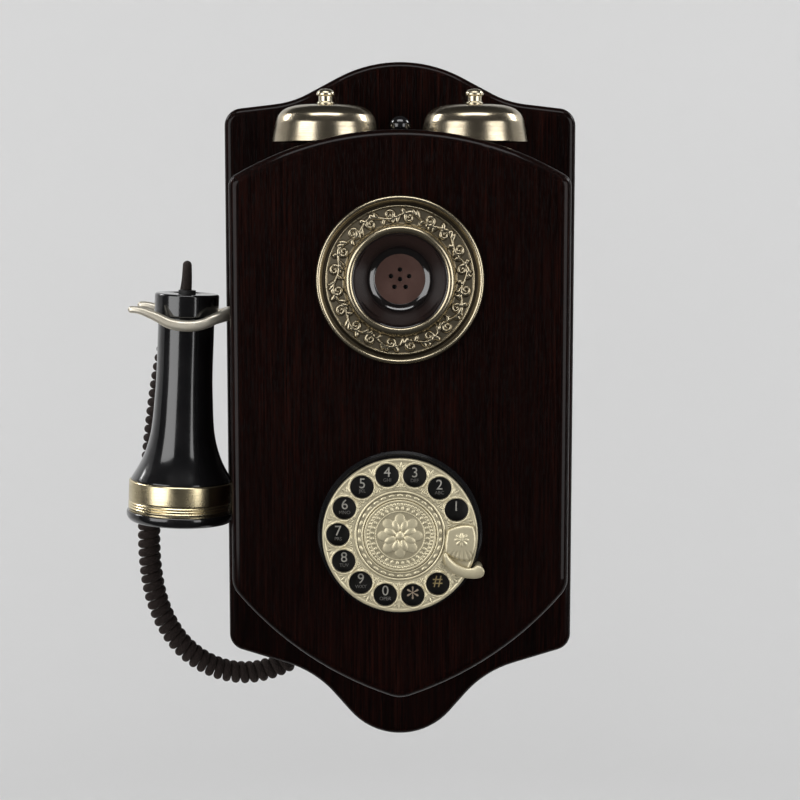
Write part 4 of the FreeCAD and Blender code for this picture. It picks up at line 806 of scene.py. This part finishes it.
def mouthpiece_bowl():
    """The dark bowl: one curve from its rim down to the grille, and a plain back, turned about Y."""
    hollow = smooth_line([
        (12.9, bowl_floor), (14.6, bowl_floor - 0.6), (16.3, bowl_floor - 1.8), (18.0, bowl_floor - 3.9),
        (19.8, bowl_floor - 7.0), (21.7, bowl_floor - 10.8), (23.2, bowl_rim + 0.9), (24.0, bowl_rim),
        (24.5, bowl_rim + 0.4)], 8)
    back = [(24.6, panel_front + 1.5), (20.0, panel_front + 3.5), (20.0, -86.0), (10.1, -86.0),
            (10.1, bowl_floor + 1.8), (12.9, bowl_floor + 1.8)]
    profile = np.concatenate([hollow, back])
    grid = turned_about_y(profile, 160, 0, mouth_z)
    bowl = piece("mouthpiece_bowl", grid, turned_faces(grid, closed=True), dark_bowl)
    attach(bowl, "case")
    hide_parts("mouthpiece_horn")


# ---- dial -----------------------------------------------------------------------------------
def on_dial(x, y, z):
    """Spots at x and z from the dial's centre and at a depth y, in metres."""
    return np.stack([x, y + 0 * x, dial_z + z], -1) * mm


def wheel_cell():
    """The ornament between two holes: a palmette outside and a pair of scrolls inside.

    Across is measured round the hole circle from the midpoint, along is out from the circle.
    """
    strokes = []
    for turned_by in (-64, -32, 0, 32, 64):
        reach = 4.7 - 0.014 * abs(turned_by)
        tip = (reach * sin(radians(turned_by)) * 0.85, 1.6 + reach * cos(radians(turned_by)))
        middle = (tip[0] * 0.55, 1.6 + (tip[1] - 1.6) * 0.6)
        strokes.append(stroke(((0, 1.6), middle, tip), (0.28, 0.62, 0.20)))
    for side in (-1, 1):
        scroll = spiral((side * 1.75, -5.5), radius=1.5, start=90, turns=-side * 1.2, width=0.46)
        strokes.append(scroll)
        strokes.append(stroke(((0, 0.6), (side * 0.5, -2.0), (side * 1.0, -4.2)), (0.22, 0.36, 0.34)))
        leaf = ((side * 3.2, -6.3), (side * 4.7, -6.9), (side * 6.2, -6.6))
        strokes.append(stroke(leaf, (0.26, 0.50, 0.16)))
    strokes.append(stroke(((0, -4.9), (0, -6.1), (0, -7.0)), (0.20, 0.44, 0.16)))
    return strokes


def wheel_height(x, z):
    """Height of the wheel's face over its plane, and its tone, at spots round the wheel's centre.

    A rounded lip round every hole, a bead at the rim, two rings with leaves between them near the middle,
    and the palmette and scrolls repeated between the holes.
    """
    radius = np.hypot(x, z)
    turn = np.degrees(np.arctan2(z, x))
    place_number = (turn - first_hole_angle) / place_pitch
    nearest = np.round(place_number)
    holed = np.mod(nearest, finger_places) < finger_holes
    hole = polar(finger_circle, np.radians(first_hole_angle + nearest * place_pitch))
    away = np.where(holed, np.hypot(x - hole[..., 0], z - hole[..., 1]), np.inf)
    lips = bump(away, finger_hole_radius + lip_width, lip_width)
    across = ((place_number - np.floor(place_number)) - 0.5) * radians(place_pitch) * finger_circle
    carved, outline = stroke_height(across, radius - finger_circle, wheel_cell())
    leaf_turn = np.radians(np.mod(turn, 360 / leaf_count) - 180 / leaf_count)
    leaf = np.hypot(leaf_turn * leaf_circle / leaf_half_length, (radius - leaf_circle) / leaf_half_width)
    leaves = np.sqrt(np.clip(1 - leaf ** 2, 0, 1))
    rings = bump(radius, 22.7, 0.42) + bump(radius, 19.2, 0.40)
    rim = bump(radius, wheel_radius - 0.9, 0.8)
    edge = np.clip((radius - wheel_radius + edge_width) / edge_width, 0, 1) ** 2
    wide_groove = np.clip(1 - np.abs(radius - 23.5) / 0.35, 0, 1)
    thin_groove = np.clip(1 - np.abs(radius - 22.0) / 0.3, 0, 1)
    groove = wide_groove + thin_groove
    height = lip_height * lips + carving_height * carved + leaf_height * leaves + ring_height * rings
    height = height + rim_height * rim - edge_drop * edge - groove_depth * groove
    tone = 0.60 + 0.4 * lips + 0.15 * carved + 0.30 * leaves + 0.20 * rings + 0.3 * rim
    tone = tone - 0.40 * groove - 0.36 * outline * (away > finger_hole_radius + 1.3)
    floor = (radius < 22.2) & (leaves == 0) & (radius > 19.6)
    return height, tone - 0.25 * floor


def place_climb():
    """Radii from a place's inner arc to its outer one."""
    return np.linspace(wheel_inner_arc, wheel_outer_arc, place_rows + 1)


def sector_edge(middle):
    """Points round one place of the wheel, between its two side lines and its two arcs, anticlockwise."""
    sweep = np.radians(middle + np.linspace(-place_pitch / 2, place_pitch / 2, place_columns + 1))
    climb = place_climb()
    sides = (polar(wheel_outer_arc, sweep), polar(climb[::-1], sweep[-1]),
             polar(wheel_inner_arc, sweep[::-1]), polar(climb, sweep[0]))
    return np.concatenate([side[:-1] for side in sides])


def finger_wheel_face():
    """The wheel's carved face, hole walls and back.

    Each holed place is a grid of rings that run from the hole's circle out to the place's edge; the blank
    places, the middle and the rim are plain polar grids that share their edge points.
    """
    back = wheel_front + wheel_thickness
    floor = wheel_front + seat_depth
    parts = []

    def lay(flat, faces, y=None):
        """Add a sheet of (x, z) spots, carved when it has no depth of its own."""
        x, z = flat[..., 0], flat[..., 1]
        if y is None:
            height, tone = wheel_height(x, z)
            parts.append((on_dial(x, wheel_front - height, z), faces, tone))
        else:
            parts.append((on_dial(x, y, z), faces, plain_tone))

    def lay_wall(spots, foot, tone):
        """Add the wall from a closed line of spots on the carved face down to a depth."""
        x, z = spots.T
        top = wheel_front - wheel_height(x, z)[0]
        parts.append((np.stack([on_dial(x, top, z), on_dial(x, foot, z)]), grid_faces(2, len(x)), tone))

    def lay_rings(radii, start, places, y=None):
        """Add a plain polar grid over some places of the wheel."""
        sweep = np.radians(start + np.linspace(0, places * place_pitch, places * place_columns + 1))
        whole = places == finger_places
        if whole:
            sweep = sweep[:-1]
        flat = polar(np.asarray(radii)[:, None], sweep)
        lay(flat, grid_faces(len(radii), len(sweep), close_columns=whole), y)

    share = (np.linspace(0, 1, place_rings) ** 1.25)[:, None, None]
    for index in range(finger_holes):
        middle = first_hole_angle + index * place_pitch
        centre = polar(finger_circle, radians(middle))
        edge = sector_edge(middle)
        circle = centre + finger_hole_radius * unit(edge - centre)
        lay(circle * (1 - share) + edge * share, grid_faces(place_rings, len(edge)))
        lay(np.stack([circle, edge]), grid_faces(2, len(edge)), back)
        lay_wall(circle, back, wall_tone)
    first_side = first_hole_angle - place_pitch / 2
    blank_side = first_side + finger_holes * place_pitch
    for y in (None, back):
        lay_rings(place_climb(), blank_side, finger_places - finger_holes, y)
    seat_radius = medallion_radius + seat_gap
    for radii, y in ((np.linspace(seat_radius, wheel_inner_arc, 26), None),
                     (np.linspace(wheel_outer_arc, wheel_radius, 9), None),
                     ((0.0, wheel_inner_arc), back),
                     ((wheel_outer_arc, wheel_radius), back),
                     ((0.0, seat_radius), floor)):
        lay_rings(radii, first_side, finger_places, y)
    round_wheel = radians(first_side) + full_turn(finger_places * place_columns)
    lay_wall(polar(seat_radius, round_wheel), floor, rim_tone)
    lay_wall(polar(wheel_radius, round_wheel), back, rim_tone)
    wheel = joined("finger_wheel_carved", parts, carved_pale_brass)
    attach(wheel, "dial")
    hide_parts("finger_wheel")


def medallion():
    """The round plate in the wheel's middle: a low dome with a rim, beads, leaves and a rosette.

    Petals are where the radius is under a petal's reach, which swells and falls with the angle.
    """
    radii = np.concatenate([np.linspace(0, 12.4, 56), np.linspace(12.6, medallion_radius, 40)])
    turn = full_turn(360)
    radius = radii[:, None] + 0 * turn
    height = 0.35 * (1 - (radius / medallion_radius) ** 2)

    def petals(count, reach, foot, start):
        """Height of a whorl of petals, each highest along its middle line."""
        angle = np.mod(turn - start, 2 * pi / count) - pi / count
        along = np.clip((radius - foot) / (reach - foot), 0, 1)
        half = 0.95 * pi / count * np.sqrt(np.clip(np.sin(pi * along ** 0.75), 0, 1))
        across = np.abs(angle) / np.maximum(half, 1e-6)
        inside = (radius > foot) & (radius < reach) & (across < 1)
        return np.where(inside, np.sqrt(np.clip(1 - across ** 2, 0, 1)) * np.sin(pi * along) ** 0.5, 0)

    def ring_of(count, middle, half_along, half_round):
        """Height of a ring of rounded grains."""
        angle = np.mod(turn, 2 * pi / count) - pi / count
        away = ((radius - middle) / half_along) ** 2 + (angle * middle / half_round) ** 2
        return np.sqrt(np.clip(1 - away, 0, 1))

    back_whorl = petals(count=8, reach=11.6, foot=3.0, start=pi / 8)
    front_whorl = petals(count=8, reach=8.6, foot=2.0, start=0.0)
    boss = bump(radius, 0.0, 2.3)
    beads = ring_of(count=56, middle=16.4, half_along=0.7, half_round=0.8)
    leaves = ring_of(count=32, middle=14.2, half_along=1.15, half_round=0.75)
    lines = bump(radius, 12.6, 0.28) + bump(radius, 15.5, 0.22)
    rim = bump(radius, 17.9, 0.65)
    carved = [0.45 * back_whorl, 0.75 * front_whorl, 0.95 * boss, 0.40 * beads, 0.38 * leaves]
    raised = np.maximum.reduce(carved) + 0.25 * lines + 0.35 * rim
    stipple = 0.03 * np.sin(radius * 9) * np.sin(turn * 60)
    edge = np.clip((radius - medallion_radius + 0.3) / 0.3, 0, 1) ** 2
    level = wheel_front - 0.15 - height - raised - stipple + 0.6 * edge
    face = on_dial(radius * np.cos(turn), level, radius * np.sin(turn))
    rim_x, rim_z = polar(medallion_radius, turn).T
    skirt = on_dial(rim_x, wheel_front + 1.2, rim_z)[None]
    foot = np.broadcast_to(skirt.mean(1, keepdims=True), skirt.shape)
    grid = np.concatenate([face, skirt, foot])
    tone = np.concatenate([0.36 + raised, np.zeros((2, len(turn)))])
    plate = piece("medallion_rosette", grid, turned_faces(grid), carved_pale_brass, tone=tone)
    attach(plate, "dial")
    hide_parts("dial_medallion")


def rounded_square(rows, columns, pull):
    """Two numbers from -1 to 1 over a grid whose corners are drawn inwards by the pull."""
    p, q = np.meshgrid(np.linspace(-1, 1, rows), np.linspace(-1, 1, columns), indexing="ij")
    return p * np.sqrt(1 - pull * q ** 2), q * np.sqrt(1 - pull * p ** 2), p, q


def stop_leaf():
    """The stop's crowned leaf over the blank places, as its carved front and its flat back.

    The front rises from the border by a quarter round, with a shallow crown, a flower and a fan.
    """
    rows = 70
    p, q, flat_p, flat_q = rounded_square(rows, rows, 0.30)
    radius = stop_circle + stop_half_reach * p
    angle = np.radians(stop_angle + stop_half_angle * q)
    x, z = radius * np.cos(angle), radius * np.sin(angle)
    border = (1 - np.maximum(np.abs(flat_p), np.abs(flat_q))) * 7.5
    rise = np.clip(border / stop_border, 0, 1)
    thick = stop_thickness * np.sqrt(np.clip(1 - (1 - rise) ** 2, 0, 1))
    crown = 0.35 * (1 - p ** 2) * (1 - q ** 2)
    off_x, off_z = x - emblem_x, z - emblem_z
    away, around = np.hypot(off_x, off_z), np.arctan2(off_z, off_x)
    petal = 3.7 * np.abs(np.cos(4 * around)) ** 0.45
    flower = np.where(away < petal, np.sqrt(np.clip(1 - (away / np.maximum(petal, 1e-6)) ** 2, 0, 1)), 0)
    emblem = np.maximum(0.45 * flower, 0.6 * bump(away, 0.0, 1.0))
    fan = np.clip((-off_z - 5.0) / 2.0, 0, 1) * (0.5 + 0.5 * np.cos(around * 26)) * 0.16
    face = on_dial(x, stop_back - thick - (crown + emblem - fan) * rise, z)
    faces = grid_faces(rows, rows, close_columns=False)
    return [(face, faces, 0.62 + emblem - 1.6 * fan), (on_dial(x, stop_back, z), faces, plain_tone)]


def stop_horn():
    """The stop's curved horn: a round section that swells along a bent line, with a round end."""
    sides = 28
    line = smooth_line([
        (22.8, -8.6), (24.4, -12.4), (27.8, -16.2), (32.6, -18.6), (37.0, -19.0), stop_end], 12)
    ends = np.linspace(0, 1, len(line))
    swell = 1.7 * np.sin(pi / 2 * np.clip(ends / 0.55, 0, 1)) + 0.6 * np.clip((ends - 0.7) / 0.3, 0, 1)
    past = np.sin(np.linspace(0, pi / 2, 10)[1:])
    tip = line[-1] + unit(line[-1] - line[-2]) * stop_tip * past[:, None]
    wide = np.concatenate([0.9 + swell, stop_tip * np.sqrt(1 - past ** 2)])
    line = np.concatenate([line, tip])
    slope = unit(np.gradient(line, axis=0))
    level = stop_back - 0.95 - 0.35 * np.clip(np.linspace(0, 1.2, len(line)), 0, 1)
    centre = on_dial(line[:, 0], level, line[:, 1])
    across = np.stack([-slope[:, 1], 0 * slope[:, 0], slope[:, 0]], -1)
    up = np.broadcast_to((0.0, -1.0, 0.0), across.shape)
    horn = closed_ends(swept(centre, wide * mm, np.minimum(wide, 1.25) * mm, across, up, 1.0, sides))
    return horn, grid_faces(len(horn), sides), 0.8


def finger_stop_shell():
    """The stop: its leaf, its horn, and a round foot under the horn's end."""
    top = stop_back - 0.6
    foot = np.array([(0.0, top), (2.6, top), (2.6, panel_front), (0.0, panel_front)])
    foot_grid = turned_about_y(foot, 32, stop_end[0], dial_z + stop_end[1])
    parts = stop_leaf() + [stop_horn(), (foot_grid, turned_faces(foot_grid), 0.6)]
    stop = joined("finger_stop_leaf", parts, carved_pale_brass)
    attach(stop, "case")
    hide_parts("finger_stop")


def lettering(name, labels, size, drop, material):
    """Characters on the number plate: each label is centred on its finger hole, moved down by the drop."""
    points, faces, count = [], [], 0
    for index, label in enumerate(labels):
        if not label:
            continue
        text = bpy.data.curves.new(name, "FONT")
        text.body = label
        text.size = size * mm
        text.extrude = letter_depth * mm
        text.align_x = "CENTER"
        text.align_y = "CENTER"
        text.resolution_u = 6
        holder = bpy.data.objects.new(name, text)
        mesh = bpy.data.meshes.new_from_object(holder)
        flat = np.zeros(len(mesh.vertices) * 3)
        mesh.vertices.foreach_get("co", flat)
        flat = flat.reshape(-1, 3)
        middle = (flat.min(0) + flat.max(0)) / 2
        x, z = polar(finger_circle, radians(first_hole_angle + index * place_pitch))
        across, up = (flat[:, 0] - middle[0]) / mm, (flat[:, 1] - middle[1]) / mm
        points.append(on_dial(x + across, plate_front - flat[:, 2] / mm, z + up - drop))
        faces += [[count + corner for corner in face.vertices] for face in mesh.polygons]
        count += len(flat)
        bpy.data.objects.remove(holder)
    mesh = bpy.data.meshes.new(name)
    mesh.from_pydata(np.concatenate(points).tolist(), [], faces)
    tidy(mesh)
    mesh.materials.append(material)
    made = linked(name, mesh)
    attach(made, "case")


# ---- gongs ----------------------------------------------------------------------------------
def gong_domes():
    """Each gong: an outer and an inner curve closed into one wall and turned about Z."""
    hollow = gong_radius - gong_wall
    low = gong_height - gong_wall
    outer, inner = (
        smooth_line([(radius * across, gong_rim + height * up) for across, up in gong_curve], 10)
        for radius, height in ((gong_radius, gong_height), (hollow, low)))
    lip = [(gong_radius - 0.3, gong_rim - 0.35), (hollow + 0.3, gong_rim - 0.35)]
    bore = [(gong_bore, gong_rim + low), (gong_bore, gong_rim + gong_height)]
    profile = np.concatenate([outer, lip, inner[::-1], bore])
    for side, node_name in ((-1, "gong_left"), (1, "gong_right")):
        grid = turned_about_z(profile, 192, side * gong_x, gong_y)
        dome = piece("bell_dome_" + node_name[5:], grid, turned_faces(grid, closed=True), bell_metal)
        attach(dome, "case")
        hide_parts(node_name)


def gong_nuts():
    """The two domed nuts: a foot ring, a waist and a round cap, turned about Z."""
    crown = gong_rim + gong_height
    profile = rounded_line([
        (0.0, crown, 0), (4.5, crown, 0.2), (4.6, crown + 1.0, 0.3), (3.7, crown + 1.5, 0.2),
        (3.7, crown + 4.4, 0.2), (4.8, crown + 4.8, 0.3), (4.8, crown + 6.2, 1.0), (3.0, crown + 7.9, 1.2),
        (0.0, crown + 8.2, 0)])
    parts = []
    for side in (-1, 1):
        grid = turned_about_z(profile, 64, side * gong_x, gong_y)
        parts.append((grid, turned_faces(grid), 0.7))
    nuts = joined("bell_nuts", parts, pale_brass)
    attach(nuts, "case")
    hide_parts("gong_nuts")


# ---- receiver and hook ----------------------------------------------------------------------
def on_receiver(grid):
    """Move a grid turned about the receiver's own axis to the hook, leaning."""
    tilt = radians(lean)
    x, y, z = grid[..., 0], grid[..., 1], grid[..., 2]
    leant = np.stack([x * cos(tilt) + z * sin(tilt), y, z * cos(tilt) - x * sin(tilt)], -1)
    return leant + np.array(seat) * mm


def receiver_piece(name, profile, material, node_name, closed=True, sides=160):
    """One turned piece of the receiver."""
    grid = on_receiver(turned_about_z(profile, sides))
    made = piece(name, grid, turned_faces(grid, closed=closed), material)
    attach(made, "receiver")
    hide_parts(node_name)


def receiver():
    """Shell, cap, band and ear cap, each a profile turned about the receiver's axis."""
    top, low = band_top, band_foot
    shell = smooth_line([
        (neck_radius, 0.0), (neck_radius, -14.0), (neck_radius, -30.0), (15.4, -43.0), (16.9, -62.0),
        (20.7, -76.0), (27.0, top)], 12)
    hollow = (shell - (neck_wall, 0.0))[::-1]
    bell = np.concatenate([shell, hollow])
    receiver_piece("handle_bell", bell, black_gloss, "receiver_shell")
    cap = rounded_line([
        (3.2, 12.0, 0), (17.0, 12.0, 1.5), (17.0, 0.0, 0.8), (12.7, 0.0, 0), (12.7, -6.0, 0),
        (10.7, -6.0, 0), (10.7, 9.5, 0), (3.2, 9.5, 0)])
    receiver_piece("handle_cap", cap, black_gloss, "receiver_cap")
    ridges = []
    for step in range(3):
        z = low + 5.2 - 1.4 * step
        ridges += [(27.35, z, 0.15), (28.0, z - 0.7, 0.3)]
    band = rounded_line([
        (25.4, top, 0), (27.2, top, 0.3), (27.8, top - 0.7, 0.4), (27.8, low + 6.0, 0.2), *ridges,
        (27.3, low + 0.8, 0.2), (27.3, low, 0.1), (25.4, low, 0)])
    receiver_piece("handle_band", band, band_brass, "receiver_band", sides=192)
    foot = low - 5.6
    ear = rounded_line([
        (0.0, low - 1.0, 0), (23.4, low - 1.0, 0), (23.4, low + 5.0, 0), (25.4, low + 5.0, 0),
        (25.4, low, 0), (28.2, low, 0.3), (28.7, low - 0.6, 0.4), (28.7, foot + 2.4, 1.2),
        (26.9, foot, 1.2), (22.0, foot, 0.8), (19.0, foot + 0.9, 0.8), (6.5, foot + 2.6, 1.0),
        (0.0, foot + 2.6, 0)])
    receiver_piece("ear_piece", ear, black_gloss, "ear_cap", closed=False)


def hook_fork():
    """The hook: one rounded bar swept along a U, its shank through the wall, its boss and tail.

    The bar's section is a superellipse whose half sizes swell towards the yoke and round off at the tips.
    """
    other = [(x, -y, z, wide, high) for x, y, z, wide, high in reversed(hook_bar)]
    rows = smooth_line([*hook_bar, hook_bend, *other], 8)
    line = rows[:, :3] * mm + np.array(seat) * mm
    along = unit(np.gradient(line, axis=0))
    across = unit(np.cross((0.0, 0.0, 1.0), along))
    up = np.cross(along, across)
    reach = travel(line) / mm
    from_end = np.minimum(reach, reach[-1] - reach)
    ease = np.sqrt(1 - (1 - np.clip(from_end / 1.9, 0, 1)) ** 2)
    wide, high = rows[:, 3] * ease * mm, rows[:, 4] * ease * mm
    bar = closed_ends(swept(line, wide, high, across, up, fork_power, hook_sides))
    parts = [(bar, grid_faces(len(bar), hook_sides), 0.7)]
    shank_z = seat[2] + 1.0
    for start, end, half_high in ((seat[0] + 23.0, pivot_x, 3.0), (pivot_x, pivot_x + 16.0, 2.0)):
        middle = np.linspace((start, seat[1], shank_z), (end, seat[1], shank_z), 6) * mm
        aside = np.broadcast_to((0.0, 1.0, 0.0), middle.shape)
        above = np.broadcast_to((0.0, 0.0, 1.0), middle.shape)
        wide, high = np.full(6, 6.0 * mm), np.full(6, half_high * mm)
        rod = closed_ends(swept(middle, wide, high, aside, above, shank_power, hook_sides))
        parts.append((rod, grid_faces(len(rod), hook_sides), 0.7))
    front, back = seat[1] - 6.0, seat[1] + 6.0
    boss = np.array([(2.05, front), (5.0, front), (5.0, back), (2.05, back)])
    ring = turned_about_y(boss, hook_sides, pivot_x, shank_z)
    parts.append((ring, turned_faces(ring, closed=True), 0.7))
    hook = joined("hook_fork", parts, hook_silver)
    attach(hook, "hook")
    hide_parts("hook_lever")


# ---- studio ---------------------------------------------------------------------------------
def studio_bowl():
    """A pale floor that curves up into a round wall: a profile turned about Z, in a back and a front half.

    Only the back half shows in polished faces; the front half would wash them out.
    """
    turn = np.linspace(0, pi / 2, 24)
    flat = bowl_radius - bowl_curve
    radius = np.concatenate([[0.0, flat / 2], flat + bowl_curve * np.sin(turn), [bowl_radius]])
    height = np.concatenate([[0.0, 0.0], bowl_curve * (1 - np.cos(turn)), [bowl_height]])
    material, tree, shader = finish("studio_grey", Roughness=0.9)
    cloud = noise(tree, place(tree), 1.2, 2.0)
    colour = blend_colours(tree, cloud, studio_grey, tuple(0.97 * part for part in studio_grey))
    tree.links.new(colour, shader.inputs["Base Color"])
    for name, start, polished in (("studio_back", 0.0, True), ("studio_front", pi, False)):
        around = np.linspace(start, start + pi, 49)
        points = np.stack([
            radius[:, None] * np.cos(around), radius[:, None] * np.sin(around),
            floor_z + height[:, None] + 0 * around], -1)
        faces = grid_faces(len(radius), len(around), close_columns=False)
        half = piece(name, points, faces, material)
        half.visible_glossy = polished


def soft_light(name, place_at, size, power, aim_at):
    """A rectangular soft light that looks at a spot."""
    light = bpy.data.lights.new(name, "AREA")
    light.shape = "RECTANGLE"
    light.size, light.size_y = size
    light.energy = power
    lamp = linked(name, light)
    lamp.location = place_at
    towards = Vector(aim_at) - Vector(place_at)
    lamp.rotation_euler = towards.to_track_quat("-Z", "Y").to_euler()


def studio_lights():
    """Tall soft boxes at the left and right, one above, two on the backdrop, and a dim even sky."""
    for box in soft_boxes:
        soft_light(*box)
    world = bpy.data.worlds.new("studio_sky")
    world.use_nodes = True
    background = world.node_tree.nodes["Background"]
    background.inputs["Color"].default_value = (0.92, 0.92, 0.92, 1.0)
    background.inputs["Strength"].default_value = sky_strength
    bpy.context.scene.world = world


def studio_camera():
    """The camera, at about the height of the gongs and looking slightly down."""
    tilt = radians(camera_elevation)
    back = Vector((0.0, -cos(tilt), sin(tilt)))
    lens = bpy.data.cameras.new("front_camera")
    lens.lens = camera_lens
    lens.sensor_width = sensor_width
    camera = linked("front_camera", lens)
    camera.location = Vector(aim) + back * camera_distance
    camera.rotation_euler = (-back).to_track_quat("-Z", "Y").to_euler()
    bpy.context.scene.camera = camera


# ---- the telephone --------------------------------------------------------------------------
studio_camera()
studio_bowl()
studio_lights()
bpy.context.scene.view_settings.view_transform = "Standard"
paint_nodes()
curly_cord()
mouthpiece_rose()
mouthpiece_bowl()
finger_wheel_face()
medallion()
finger_stop_shell()
lettering("dial_digits", "1234567890", size=7.4, drop=-0.9, material=digit_ivory)
letters = ("", "ABC", "DEF", "GHI", "JKL", "MNO", "PRS", "TUV", "WXY", "OPER")
lettering("dial_letters", letters, size=2.5, drop=3.3, material=letter_grey)
lettering("dial_star", ("",) * 10 + ("*",), size=15.0, drop=0.0, material=star_cream)
lettering("dial_hash", ("",) * 11 + ("#",), size=8.4, drop=0.0, material=sign_gold)
gong_domes()
gong_nuts()
receiver()
hook_fork()
